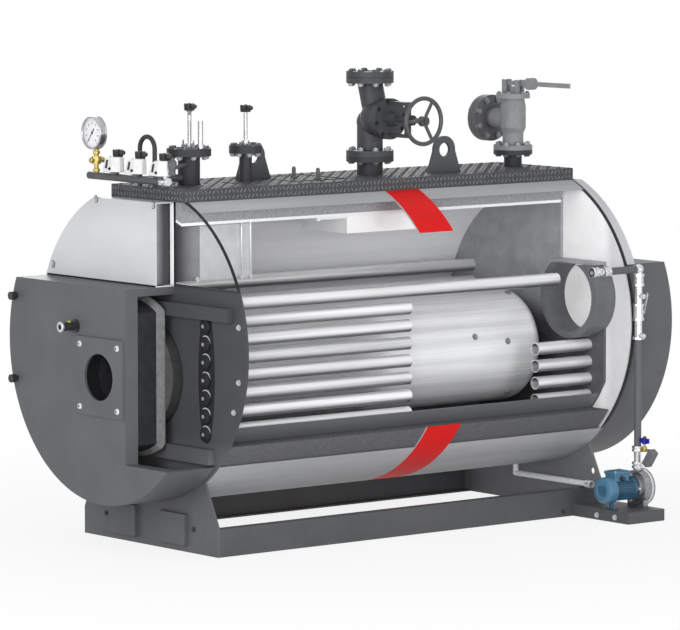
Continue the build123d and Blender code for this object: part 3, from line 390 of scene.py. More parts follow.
class BoilerStage(bpy.types.PropertyGroup):
    """Camera of the main view."""
    azimuth: bpy.props.FloatProperty(
        name="Azimuth", description="Turn of the camera around the boiler",
        default=math.radians(50.967), subtype="ANGLE")
    elevation: bpy.props.FloatProperty(
        name="Elevation", description="Height of the camera above the horizon",
        default=math.radians(5.697), subtype="ANGLE")
    lens: bpy.props.FloatProperty(
        name="Lens", description="Focal length on a 36 mm wide sensor, in millimetres", default=250.76)


def link(name, data):
    """Object at the origin that carries data whose place is in its points."""
    made = bpy.data.objects.new(name, data)
    bpy.context.scene.collection.objects.link(made)
    return made


def place(made, body, finish=None):
    """Gives a piece its finish and lets it ride on a body."""
    if finish is not None:
        made.data.materials.clear()
        made.data.materials.append(FINISHES[finish])
    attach(made, body)
    return made


def circle(count, start=0.0):
    """Angles of places evenly around a circle, the first one a share of a step on."""
    return [2 * math.pi * (i + start) / count for i in range(count)]


def spokes(axis, angles):
    """Unit vectors square to an axis, at these angles around it."""
    axis = Vector(axis).normalized()
    side = axis.orthogonal().normalized()
    other = axis.cross(side)
    return [side * math.cos(angle) + other * math.sin(angle) for angle in angles]


def loft(bm, rings, closed=False):
    """Adds a skin over rings of points, capped at its ends or closed to a ring."""
    rings = [[bm.verts.new(point) for point in ring] for ring in rings]
    pairs = list(zip(rings, rings[1:]))
    if closed:
        pairs.append((rings[-1], rings[0]))
    else:
        bm.faces.new(reversed(rings[0]))
        bm.faces.new(rings[-1])
    for lower, upper in pairs:
        for i in range(len(lower)):
            j = (i + 1) % len(lower)
            bm.faces.new((lower[i], lower[j], upper[j], upper[i]))


def turned(bm, base, axis, profile, sides, closed=False):
    """Adds a turned shape: radius and rise of each step along an axis, capped or closed to a ring."""
    along = Vector(axis).normalized()
    arms = spokes(axis, circle(sides))
    loft(bm, [[Vector(base) + along * rise + arm * radius for arm in arms] for radius, rise in profile], closed)


def nut_profile(inner, outer, edge, height):
    """Radius and rise of a nut whose two rims are chamfered."""
    return [(inner, 0), (outer, edge), (outer, height - edge), (inner, height)]


def prism(bm, outline, push):
    """Adds a closed slab: a flat outline of points pushed along a vector."""
    loft(bm, [[Vector(point) + Vector(push) for point in outline], outline])


def brick(bm, low, high, turn=None):
    """Adds a box between two corners to a mesh in the making."""
    low = Vector(low)
    high = Vector(high)
    matrix = Matrix.Translation((low + high) / 2)
    if turn is not None:
        matrix = matrix @ turn
    bmesh.ops.create_cube(bm, size=1.0, matrix=matrix @ Matrix.Diagonal((*(high - low), 1.0)))


def solid(name, bm, bevel=0.0, segments=2):
    """Turns a mesh in the making into an object, with rounded edges."""
    mesh = bpy.data.meshes.new(name)
    bmesh.ops.recalc_face_normals(bm, faces=bm.faces)
    bm.to_mesh(mesh)
    bm.free()
    mesh.polygons.foreach_set("use_smooth", [True] * len(mesh.polygons))
    mesh.set_sharp_from_angle(angle=math.radians(35))
    made = link(name, mesh)
    if bevel:
        rounded = made.modifiers.new("edges", "BEVEL")
        rounded.width = bevel
        rounded.segments = segments
        rounded.limit_method = "ANGLE"
        rounded.angle_limit = math.radians(40)
    return made


def piece(name, bm, finish, bevel=0.0, segments=2, body="boiler"):
    """A piece from a mesh in the making, with its finish, on its body."""
    return place(solid(name, bm, bevel, segments), body, finish)


def turned_piece(name, finish, shapes, bevel=0.0, body="boiler"):
    """A piece of turned shapes, each with its base, axis, profile and sides."""
    bm = bmesh.new()
    for shape in shapes:
        turned(bm, *shape)
    return piece(name, bm, finish, bevel, body=body)


def brick_piece(name, finish, boxes, bevel, segments=1):
    """A piece of boxes, each with its two corners."""
    bm = bmesh.new()
    for low, high in boxes:
        brick(bm, low, high)
    return piece(name, bm, finish, bevel, segments)


def bake(name, tree, points, values):
    """Runs a tree on a cloud of points and returns the result as one plain mesh object."""
    seed = bpy.data.meshes.new(name + "_seed")
    seed.from_pydata([spot for spot, axis, turn in points], [], [])
    axis_layer = seed.attributes.new("axis", "FLOAT_VECTOR", "POINT")
    axis_layer.data.foreach_set("vector", [part for spot, axis, turn in points for part in axis])
    turn_layer = seed.attributes.new("turn", "FLOAT", "POINT")
    turn_layer.data.foreach_set("value", [turn for spot, axis, turn in points])
    carrier = link(name + "_seed", seed)
    modifier = carrier.modifiers.new("scatter", "NODES")
    modifier.node_group = tree
    names = {item.name: item.identifier for item in tree.interface.items_tree if item.in_out == "INPUT"}
    for key, value in values.items():
        modifier[names[key]] = value
    bpy.context.view_layer.update()
    evaluated = carrier.evaluated_get(bpy.context.evaluated_depsgraph_get())
    mesh = bpy.data.meshes.new_from_object(evaluated)
    mesh.name = name
    carrier.modifiers.remove(modifier)
    bpy.data.objects.remove(carrier)
    return link(name, mesh)


def scatter_tree(name, sizes):
    """Starts a tree that puts a shape on points, and returns what its maker needs."""
    tree = bpy.data.node_groups.new(name, "GeometryNodeTree")
    tree.interface.new_socket("Points", in_out="INPUT", socket_type="NodeSocketGeometry")
    for key, default in sizes.items():
        made = tree.interface.new_socket(key, in_out="INPUT", socket_type="NodeSocketFloat")
        made.default_value = default
    tree.interface.new_socket("Finish", in_out="INPUT", socket_type="NodeSocketMaterial")
    tree.interface.new_socket("Geometry", in_out="OUTPUT", socket_type="NodeSocketGeometry")
    start = tree.nodes.new("NodeGroupInput")
    return tree, start


def close_tree(tree, start, shape):
    """Puts the shape on every point, turned to its axis, then realizes and paints it."""
    axis = add(tree, "GeometryNodeInputNamedAttribute", {"Name": "axis"}, data_type="FLOAT_VECTOR")
    turn = add(tree, "GeometryNodeInputNamedAttribute", {"Name": "turn"}, data_type="FLOAT")
    spin = add(tree, "ShaderNodeCombineXYZ", {"Z": turn.outputs["Attribute"]})
    aim = add(tree, "FunctionNodeAlignRotationToVector", {"Vector": axis.outputs["Attribute"]}, axis="Z")
    about = add(tree, "FunctionNodeEulerToRotation", {"Euler": spin.outputs["Vector"]})
    both = add(tree, "FunctionNodeRotateRotation", {
        "Rotation": aim.outputs["Rotation"], "Rotate By": about.outputs["Rotation"]}, rotation_space="LOCAL")
    copies = add(tree, "GeometryNodeInstanceOnPoints", {
        "Points": start.outputs["Points"], "Instance": shape, "Rotation": both.outputs["Rotation"]})
    real = add(tree, "GeometryNodeRealizeInstances", {"Geometry": copies.outputs["Instances"]})
    paint = add(tree, "GeometryNodeSetMaterial", {
        "Geometry": real.outputs["Geometry"], "Material": start.outputs["Finish"]})
    add(tree, "NodeGroupOutput", {"Geometry": paint.outputs["Geometry"]})
    return tree


def hex_bolt_tree():
    """Hexagon head on a washer, with the thread end that stands out of the nut."""
    tree, start = scatter_tree("hex_bolt", {"Across": 0.024, "Height": 0.014, "Washer": 0.004, "Thread": 0.006})
    joined = tree.nodes.new("GeometryNodeJoinGeometry")
    foot = 0.0
    for length, vertices, share in (("Washer", 14, 0.8), ("Height", 6, 0.577), ("Thread", 10, 0.31)):
        size = start.outputs[length]
        radius = add(tree, "ShaderNodeMath", {0: start.outputs["Across"], 1: share}, operation="MULTIPLY")
        stub = add(tree, "GeometryNodeMeshCylinder", {
            "Vertices": vertices, "Radius": radius.outputs[0], "Depth": size})
        rise = add(tree, "ShaderNodeMath", {0: size, 1: 0.5, 2: foot}, operation="MULTIPLY_ADD")
        offset = add(tree, "ShaderNodeCombineXYZ", {"Z": rise.outputs[0]})
        moved = add(tree, "GeometryNodeTransform", {
            "Geometry": stub.outputs["Mesh"], "Translation": offset.outputs["Vector"]})
        tree.links.new(moved.outputs["Geometry"], joined.inputs["Geometry"])
        foot = add(tree, "ShaderNodeMath", {0: size, 1: foot}, operation="ADD").outputs[0]
    return close_tree(tree, start, joined.outputs["Geometry"])


def lozenge_tree():
    """Raised lozenge of chequer plate: a low pad with slanted flanks."""
    tree, start = scatter_tree("tread_lozenge", {"Length": 0.028, "Width": 0.008, "Height": 0.002})
    pad = add(tree, "GeometryNodeMeshCone", {
        "Vertices": 8, "Radius Bottom": 1.0, "Radius Top": 0.55, "Depth": 1.0}, fill_type="NGON")
    size = add(tree, "ShaderNodeCombineXYZ", {
        "X": start.outputs["Length"], "Y": start.outputs["Width"], "Z": start.outputs["Height"]})
    scale = add(tree, "ShaderNodeVectorMath", {
        0: size.outputs["Vector"], 1: (0.5, 0.5, 1.0)}, operation="MULTIPLY")
    sized = add(tree, "GeometryNodeTransform", {
        "Geometry": pad.outputs["Mesh"], "Scale": scale.outputs["Vector"]})
    return close_tree(tree, start, sized.outputs["Geometry"])


def rib_tree():
    """Straight rib that stands on its point: fins, slats, grips and dial marks."""
    tree, start = scatter_tree("rib", {"Width": 0.002, "Length": 0.1, "Height": 0.008})
    size = add(tree, "ShaderNodeCombineXYZ", {
        "X": start.outputs["Width"], "Y": start.outputs["Length"], "Z": start.outputs["Height"]})
    bar = add(tree, "GeometryNodeMeshCube", {"Size": size.outputs["Vector"]})
    rise = add(tree, "ShaderNodeVectorMath", {
        0: size.outputs["Vector"], 1: (0.0, 0.0, 0.5)}, operation="MULTIPLY")
    moved = add(tree, "GeometryNodeTransform", {
        "Geometry": bar.outputs["Mesh"], "Translation": rise.outputs["Vector"]})
    return close_tree(tree, start, moved.outputs["Geometry"])


def facing(places, face, turn=0.0):
    """Bolt or rib places that all look one way, each turned by the same angle about it."""
    return [(Vector(spot), face, turn) for spot in places]


def ring_points(centre, axis, radius, count=8, start=0.5, face=None):
    """Bolt places on a circle around an axis, each pointing along face."""
    angles = circle(count, start)
    return [(Vector(centre) + arm * radius, Vector(face or axis), angle)
            for arm, angle in zip(spokes(axis, angles), angles)]


def bolts(name, points, finish, slot, across, height, washer, thread=0.0005):
    """One mesh of like bolts on the boiler."""
    values = {"Across": across, "Height": height, "Washer": washer, "Thread": thread}
    tree = bpy.data.node_groups.get("hex_bolt") or hex_bolt_tree()
    return place(bake(name, tree, points, {**values, "Finish": FINISHES[finish]}), "boiler")


def ribs(name, points, finish, width, length, height):
    """One mesh of like ribs on the boiler."""
    values = {"Width": width, "Length": length, "Height": height}
    tree = bpy.data.node_groups.get("rib") or rib_tree()
    return place(bake(name, tree, points, {**values, "Finish": FINISHES[finish]}), "boiler")


def seen_directly(tree):
    """1 for rays from the camera, a mirror or glass, which see the plain white background."""
    path = tree.nodes.new("ShaderNodeLightPath")
    seen = path.outputs["Is Camera Ray"]
    for kind in ("Is Glossy Ray", "Is Transmission Ray"):
        seen = add(tree, "ShaderNodeMath", {0: seen, 1: path.outputs[kind]}, operation="MAXIMUM").outputs[0]
    return seen


class BOILER_OT_finishes(bpy.types.Operator):
    """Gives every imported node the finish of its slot"""
    bl_idname = "boiler.finishes"
    bl_label = "Finishes"

    def execute(self, context):
        FINISHES.update(make_finishes(context.scene.boiler_finishes))
        for entry in frame["record"]["subparts"]:
            node = frame["nodes"][entry["node"]]
            node.data.materials.clear()
            node.data.materials.append(FINISHES[OWN_FINISH.get(entry["node"], entry["material_slot"])])
        return {"FINISHED"}


class BOILER_OT_flange_bolts(bpy.types.Operator):
    """Bolts and nuts on the flanges of the crown"""
    bl_idname = "boiler.flange_bolts"
    bl_label = "Flange Bolts"

    def execute(self, context):
        across = context.scene.boiler_fasteners.flange_bolt
        pair_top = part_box("nozzles")[1].z
        valve_low, valve_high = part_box("steam_valve")
        safety_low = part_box("safety_valve")[0]
        steam_circle, safety_circle, outlet_circle = 0.09, 0.0725, 0.09
        steam_flange, safety_flange, outlet_z = 0.026, 0.022, 1.835
        nuts = []
        heads = []
        for y, radius in ((LEVEL_Y, 0.081), (PROBE_Y, 0.059)):
            heads += ring_points((0, y, pair_top), TOP, radius)
            nuts += ring_points((0, y, pair_top - 0.035), TOP, radius, face=DOWN)
        nuts += ring_points((0, STEAM_Y, valve_low.z + steam_flange), TOP, steam_circle)
        heads += ring_points((0, STEAM_Y, valve_low.z - steam_flange), TOP, steam_circle, face=DOWN)
        heads += ring_points((0, STEAM_Y, valve_high.z), TOP, steam_circle)
        nuts += ring_points((0, STEAM_Y, valve_high.z - 0.054), TOP, steam_circle, face=DOWN)
        nuts += ring_points((0, SAFETY_Y, safety_low.z + safety_flange), TOP, safety_circle)
        heads += ring_points((0, SAFETY_Y, safety_low.z - safety_flange), TOP, safety_circle, face=DOWN)
        bolts("flange_nuts", nuts, "nut_steel", "pump_steel",
              across=across, height=0.011, washer=0.002, thread=0.003)
        bolts("flange_heads", heads, "dark_paint", "dark_paint", across=across, height=0.008, washer=0.002)
        # The stop valve's bonnet bolts, nearly black: the bolts are real, their black is painted shade for the
        # dark spots at the roots of the yoke.
        bonnet = ring_points((0.15, STEAM_Y, 1.875), NEAR, 0.084, 8, 0.25)
        bolts("stop_valve_bonnet_bolts_shaded", bonnet, "rubber", "cast_grey",
              across=0.013, height=0.003, washer=0.0005)
        bonnet = ring_points((0, SAFETY_Y, 1.959), TOP, 0.068, 6, 0.25)
        bolts("safety_valve_bonnet_bolts", bonnet, "cast_light", "cast_light",
              across=0.016, height=0.008, washer=0.001)
        bm = bmesh.new()
        for y, radius in ((LEVEL_Y, 0.1004), (PROBE_Y, 0.0754)):
            turned(bm, (0, y, pair_top - 0.0345), TOP, [
                (radius - 0.004, 0), (radius - 0.001, 0), (radius, 0.001), (radius, 0.033),
                (radius - 0.001, 0.034), (radius - 0.004, 0.034)], 64, True)
        piece("flange_pair_rims", bm, "nozzle_paint")
        outlet = ring_points((-0.152, SAFETY_Y, outlet_z), NEAR, outlet_circle)
        outlet += ring_points((-0.202, SAFETY_Y, outlet_z), NEAR, outlet_circle, face=FAR)
        bolts("outlet_bolts", outlet, "nut_steel", "pump_steel", across=across, height=0.009, washer=0.002)
        return {"FINISHED"}


class BOILER_OT_cover_bolts(bpy.types.Operator):
    """Small bolts of covers, panels, stays, base and furnace"""
    bl_idname = "boiler.cover_bolts"
    bl_label = "Cover Bolts"

    def execute(self, context):
        small = {"across": context.scene.boiler_fasteners.small_bolt, "height": 0.007, "washer": 0.0015}
        plate_y, platform_y, panel_y, burner_y, burner_half = -0.006, 2.09, -0.106, -0.289, 0.14
        bright = facing([
            (0.652, plate_y, 1.032), (0.651, plate_y, 0.790), (0.615, plate_y, 0.655),
            (0.667, platform_y, 0.022), (0.791, platform_y, 0.024)], FRONT, turn=0.2)
        bright += facing([(0.178, y, 1.2) for y in (0.126, 0.374, 0.425)], NEAR, turn=0.3)
        bolts("cover_bolts", bright, "zinc", "pump_steel", **small)
        panel = facing([
            (-0.598, panel_y, 1.231), (-0.264, panel_y, 1.547), (0.162, panel_y, 1.545)], FRONT, turn=0.2)
        # Dark rubber sealing washers beneath the panel bolts, also standing in for the bolts' shade on the
        # white panel: painted shade.
        bolts("panel_washers_as_shade", panel, "rubber", "black_plastic", across=0.022, height=0.001, washer=0.0005)
        bolts("panel_bolts", panel, "zinc", "pump_steel", across=0.018, height=0.010, washer=0.003)
        base = facing([(0.5, 2.03, 0.025)], NEAR, turn=0.3) + facing([(-0.5, 2.03, 0.025)], FAR, turn=0.3)
        base += facing([(-0.333, plate_y, 0.109), (0.323, plate_y, 0.107)], FRONT)
        bolts("base_bolts", base, "cast_grey", "dark_paint", across=0.016, height=0.007, washer=0.0015)
        furnace_face = 0.267
        studs = []
        for x, y, z in (
            (0.100, 2.03, 1.022), (0.257, 1.691, 0.849), (0.264, 1.888, 0.817), (0.164, 1.973, 0.564),
        ):
            away = Vector((x, 0, z - FURNACE_Z)).normalized()
            studs.append((Vector((0, y, FURNACE_Z)) + away * furnace_face, away, 0.0))
        bolts("furnace_studs", studs, "nut_steel", "cast_light", across=0.02, height=0.007, washer=0.001)
        brick_piece("stay_edge_beads", "zinc", [
            ((0.1775, y - 0.005, 1.195), (0.1825, y + 0.005, 1.512)) for y in (0.3785, 0.4285)],
            bevel=0.002, segments=2)
        corners = facing([(a * burner_half, burner_y, BURNER_Z + b * burner_half)
                          for a in (-1, 1) for b in (-1, 1)], FRONT, turn=0.3)
        bolts("burner_plate_screws", corners, "galvanised", "pump_steel",
              across=0.017, height=0.007, washer=0.002)
        # Thin black hexagons on the screw heads stand for their sockets: painted shade of the recesses.
        sockets = [(spot + FRONT * 0.0093, face, turn) for spot, face, turn in corners]
        bolts("burner_plate_socket_shades", sockets, "rubber", "black_plastic",
              across=0.007, height=0.0007, washer=0.0003)
        # The rear cover is cut off flat at its top, so its ring of bolts stops below that.
        rear_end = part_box("rear_cover")[1].y
        rear = [spot for spot in ring_points((0, rear_end, 0.905), REAR, 0.66, 20) if spot[0].z < 1.12]
        bolts("rear_cover_bolts", rear, "zinc", "pump_steel", **small)
        return {"FINISHED"}


class BOILER_OT_tread(bpy.types.Operator):
    """Raised lozenges, hatch joints and studs of the chequer plate deck"""
    bl_idname = "boiler.tread"
    bl_label = "Deck Tread"

    def execute(self, context):
        sizes = context.scene.boiler_fasteners
        low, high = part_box("deck")
        rows = int((high.x - low.x) / sizes.tread_pitch)
        columns = int((high.y - low.y) / sizes.tread_pitch)
        clear = ((LEVEL_Y, 0.07), (PROBE_Y, 0.05), (STEAM_Y, 0.08), (SAFETY_Y, 0.065))
        flat = []
        for i in range(columns):
            for j in range(rows):
                x = low.x + (j + 0.5) * (high.x - low.x) / rows
                y = low.y + (i + 0.5) * (high.y - low.y) / columns
                if all(math.hypot(x, y - spot) > radius for spot, radius in clear):
                    flat.append((Vector((x, y, high.z)), TOP, math.radians(45 if (i + j) % 2 else -45)))
        edge_pitch, edge_lean = 0.022, 34
        crest = []
        for run, square, faces in ((1, 0, (NEAR, FAR)), (0, 90, (FRONT, REAR))):
            for i in range(int((high[run] - low[run]) / edge_pitch)):
                for level, flip in ((0.015, 1), (0.041, -1)):
                    tilt = math.radians(square + edge_lean * flip * (1 if i // 2 % 2 else -1))
                    for face in faces:
                        spot = Vector([(high if face[axis] > 0 else low)[axis] for axis in range(3)])
                        spot[run] = low[run] + (i + 0.5) * edge_pitch
                        spot.z = low.z + level
                        crest.append((spot, face, tilt))
        tree = lozenge_tree()
        for name, points, length, width, finish in (
            ("deck_tread", flat, sizes.tread_length, 0.008, "tread_plate"),
            # Pale edge crests: worn paint, and a painted highlight.
            ("deck_edge_tread", crest, 0.022, 0.005, "tread_worn_highlit"),
        ):
            values = {"Length": length, "Width": width, "Height": 0.002, "Finish": FINISHES[finish]}
            place(bake(name, tree, points, values), "boiler")

        brick_piece("hatch_joints", "rubber", [
            ((x0, y0, high.z - 0.002), (x1, y1, high.z + 0.0024)) for x0, y0, x1, y1 in (
                (-0.168, 0.70, -0.160, 1.004), (-0.168, 0.996, 0.160, 1.004),
                (0.157, 0.70, 0.160, 1.0), (-0.165, 0.70, 0.160, 0.703), (0.0, 0.404, 0.1, 0.412))],
            bevel=0.0006)
        bm = bmesh.new()
        for x, y in ((-0.033, 0.845), (0.112, 0.870)):
            turned(bm, (x, y, high.z), TOP, [(0.016, 0), (0.016, 0.008), (0.0105, 0.010)], 6)
            turned(bm, (x, y, high.z + 0.008), TOP, [
                (0.0095, 0), (0.0095, 0.036), (0.0075, 0.040), (0.0075, 0.045)], 20)
        piece("deck_studs", bm, "dark_paint", bevel=0.0006)
        return {"FINISHED"}


class BOILER_OT_gauge(bpy.types.Operator):
    """Dial, marks, numbers, hand and bezel of the pressure gauge, and the nuts of its cock"""
    bl_idname = "boiler.gauge"
    bl_label = "Pressure Gauge"

    def execute(self, context):
        middle = Vector((GAUGE_X, -0.067, 1.839))
        turned_piece("gauge_dial", "dial", [
            (middle, FRONT, [(0.0668, -0.001), (0.0668, 0.0008), (0.066, 0.0012)], 64)])

        start, span, steps, main_step = math.radians(232), math.radians(284), 40, 5
        angles = [start - span * i / steps for i in range(steps + 1)]
        arms = [Vector((math.cos(angle), 0, math.sin(angle))) for angle in angles]
        marks = []
        majors = []
        for i, (angle, arm) in enumerate(zip(angles, arms)):
            group, reach = (marks, 0.058) if i % main_step else (majors, 0.056)
            group.append((middle + arm * reach + FRONT * 0.001, FRONT, angle - math.pi / 2))
        ribs("gauge_marks", marks, "ink", width=0.0008, length=0.005, height=0.0006)
        ribs("gauge_main_marks", majors, "ink", width=0.0014, length=0.009, height=0.0006)

        bm = bmesh.new()
        for i, arm in enumerate(arms[::main_step]):
            words = bpy.data.curves.new("dial_number", "FONT")
            words.body = str(2 * i)
            words.size = 0.014
            words.extrude = 0.0003
            words.align_x = "CENTER"
            words.align_y = "CENTER"
            carrier = link("dial_number", words)
            bpy.context.view_layer.update()
            made = bpy.data.meshes.new_from_object(carrier.evaluated_get(context.evaluated_depsgraph_get()))
            spot = middle + arm * 0.042 + FRONT * 0.0014
            made.transform(Matrix.Translation(spot) @ Matrix.Rotation(math.pi / 2, 4, "X"))
            bm.from_mesh(made)
            bpy.data.objects.remove(carrier)
            bpy.data.meshes.remove(made)
        piece("gauge_numbers", bm, "ink")

        bm = bmesh.new()
        along = arms[0]
        side = Vector((-math.sin(start), 0, math.cos(start)))
        base = middle + FRONT * 0.0022
        prism(bm, [base + along * a + side * b for a, b in (
            (-0.024, -0.003), (-0.024, 0.003), (0.004, 0.0022),
            (0.056, 0.0005), (0.056, -0.0005), (0.004, -0.0022))], FRONT * 0.001)
        turned(bm, base, FRONT, [(0.006, 0), (0.006, 0.0015), (0.004, 0.0028)], 24)
        piece("gauge_hand", bm, "ink")

        rim, thick = 0.0708, 0.0046
        turned_piece("gauge_bezel", "gauge_case", [
            (middle + FRONT * 0.006, FRONT,
             [(rim + thick * math.cos(a), thick * math.sin(a)) for a in circle(12)], 72, True),
            (middle + REAR * 0.021, REAR, nut_profile(0.0752, 0.0775, 0.001, 0.006), 64)])

        stub = [(0.012, -0.002), (0.0135, 0.001), (0.0135, 0.006), (0.010, 0.009)]
        turned_piece("gauge_cock_nuts", "brass", [
            ((GAUGE_X, MANIFOLD_Y, 1.700), TOP, nut_profile(0.0212, 0.0225, 0.004, 0.034), 6),
            ((GAUGE_X, MANIFOLD_Y, 1.742), TOP, nut_profile(0.014, 0.0165, 0.003, 0.017), 6),
            ((GAUGE_X, MANIFOLD_Y, 1.664), TOP, nut_profile(0.014, 0.0165, 0.002, 0.014), 6),
            ((GAUGE_X, -0.072, 1.716), FRONT, stub, 20),
            ((GAUGE_X, -0.012, 1.716), REAR, stub, 20)], bevel=0.0006)
        return {"FINISHED"}


class BOILER_OT_switches(bpy.types.Operator):
    """Pressure switches with their windows, screws and nuts"""
    bl_idname = "boiler.switches"
    bl_label = "Pressure Switches"

    def execute(self, context):
        y = -0.051
        # Outlines of the case at four heights: its left side leans back from the foot to the crown.
        levels = (
            (1.670, ((-0.052, -0.030), (0.018, -0.030), (0.052, -0.004), (0.052, 0.022), (-0.052, 0.022))),
            (1.682, ((-0.050, -0.029), (0.018, -0.029), (0.051, -0.004), (0.051, 0.022), (-0.050, 0.022))),
            (1.726, ((-0.034, -0.026), (0.018, -0.026), (0.050, -0.003), (0.050, 0.022), (-0.034, 0.022))),
            (1.739, ((-0.006, -0.022), (0.020, -0.022), (0.048, -0.002), (0.048, 0.022), (-0.006, 0.022))),
        )
        window = (
            (-0.027, -0.0292, 1.687), (-0.012, -0.0292, 1.687),
            (-0.006, -0.0262, 1.724), (-0.020, -0.0262, 1.724),
        )
        bodies = bmesh.new()
        glass = bmesh.new()
        nuts = bmesh.new()
        screws = []
        for x in SWITCHES_X:
            loft(bodies, [[(x + a, y + b, z) for a, b in outline] for z, outline in levels])
            prism(glass, [(x + a, y + b, z) for a, b, z in window], (0, -0.0022, 0))
            screws += facing([(x + 0.008, y - 0.0288, 1.686)], FRONT)
            screws += facing([(x - 0.016, y - 0.008, 1.733)], TOP)
            turned(nuts, (x, MANIFOLD_Y, 1.655), TOP, [
                (0.012, -0.004), (0.018, 0.002), (0.019, 0.010), (0.030, 0.014), (0.030, 0.016)], 24)
        body = piece("switch_bodies", bodies, "white_plastic", bevel=0.004, segments=3)
        piece("switch_windows", glass, "black_plastic", bevel=0.0005, segments=1)
        piece("switch_nuts", nuts, "dark_paint")
        bolts("switch_screws", screws, "rubber", "black_plastic", across=0.009, height=0.005, washer=0.001)
        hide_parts("pressure_switches")
        return {"FINISHED"}


class BOILER_OT_terminal_heads(bpy.types.Operator):
    """Black terminal heads with ribbed sides, lids and cable glands"""
    bl_idname = "boiler.terminal_heads"
    bl_label = "Terminal Heads"

    def execute(self, context):
        wide, top = 0.017, 0.033
        steps = ((wide - 0.001, 0.0), (wide, 0.004), (wide + 0.001, top - 0.006), (wide - 0.001, top))
        spots = [(x + 0.024, MANIFOLD_Y, 1.739) for x in SWITCHES_X]
        spots += [(0.005, LEVEL_Y, 1.944), (0.0, PROBE_Y, 1.926)]
        bm = bmesh.new()
        grips = []
        for x, y, z in spots:
            loft(bm, [[(x + a * half, y + b * half, z + rise) for a, b in CORNERS] for half, rise in steps])
            turned(bm, (x + 0.016, y, z + 0.020), NEAR, [
                (0.009, 0), (0.009, 0.006), (0.011, 0.008), (0.011, 0.020), (0.0095, 0.028),
                (0.006, 0.032)], 24)
            turned(bm, (x, y, z + top - 0.001), TOP, [(0.006, 0), (0.006, 0.002), (0.004, 0.003)], 16)
            grips += facing([(x + step, y - wide, z + 0.014)
                             for step in (-0.010, -0.005, 0.0, 0.005, 0.010)], FRONT)
        head = piece("terminal_head_bodies", bm, "black_plastic", bevel=0.0025)
        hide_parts("terminal_heads")
        ribs("terminal_head_ribs", grips, "black_plastic",
             width=0.0024, length=0.020, height=0.0016)
        return {"FINISHED"}


class BOILER_OT_manifold_fittings(bpy.types.Operator):
    """Tee and valve at the near end of the manifold, and glands of the level flange"""
    bl_idname = "boiler.manifold_fittings"
    bl_label = "Manifold Fittings"

    def execute(self, context):
        turned_piece("manifold_tee", "zinc", [
            ((0.142, MANIFOLD_Y, MANIFOLD_Z), NEAR, [
                (0.0185, 0), (0.020, 0.002), (0.020, 0.016), (0.0185, 0.018), (0.0185, 0.036),
                (0.0215, 0.038), (0.0215, 0.054), (0.019, 0.057)], 6),
            ((TEE_X, MANIFOLD_Y, MANIFOLD_Z), TOP, [
                (0.013, 0.010), (0.013, 0.022), (0.016, 0.024), (0.016, 0.036), (0.013, 0.038)], 6),
            ((TEE_X, -0.060, MANIFOLD_Z), FRONT, [(0.010, 0), (0.010, 0.010), (0.007, 0.013)], 16)],
            bevel=0.001)

        valve_x, valve_y = 0.204, -0.030
        turned_piece("manifold_valve", "dark_paint", [
            ((valve_x, valve_y, 1.672), TOP, [
                (0.010, 0), (0.016, 0.006), (0.016, 0.028), (0.021, 0.036), (0.021, 0.062),
                (0.012, 0.074), (0.008, 0.082)], 8),
            ((valve_x, valve_y, 1.706), (-valve_x, LEVEL_Y - valve_y, 0.0), [(0.009, 0), (0.009, 0.278)], 16),
            ((TEE_X, MANIFOLD_Y, 1.676), (0.028, 0.015, 0.012), [(0.009, 0), (0.009, 0.034)], 16)], bevel=0.001)

        flange_z = 1.776
        stem = [(0.011, 0), (0.011, 0.004), (0.006, 0.010), (0.0035, 0.030), (0.002, 0.037)]
        turned_piece("probe_glands", "cast_light", [
            ((-0.042, LEVEL_Y, flange_z), TOP, stem, 12),
            ((0.050, LEVEL_Y - 0.012, flange_z), TOP, stem, 12),
            ((0.005, LEVEL_Y, flange_z), TOP, [
                (0.026, 0), (0.026, 0.005), (0.018, 0.007), (0.018, 0.018), (0.0105, 0.022)], 6),
            ((0.0, PROBE_Y, flange_z), TOP, [
                (0.022, 0), (0.022, 0.005), (0.016, 0.007), (0.016, 0.018), (0.0105, 0.022)], 6),
            ((0.005, LEVEL_Y, 1.922), TOP, [(0.009, 0), (0.009, 0.016), (0.013, 0.017), (0.013, 0.022)], 20)],
            bevel=0.0008)
        return {"FINISHED"}


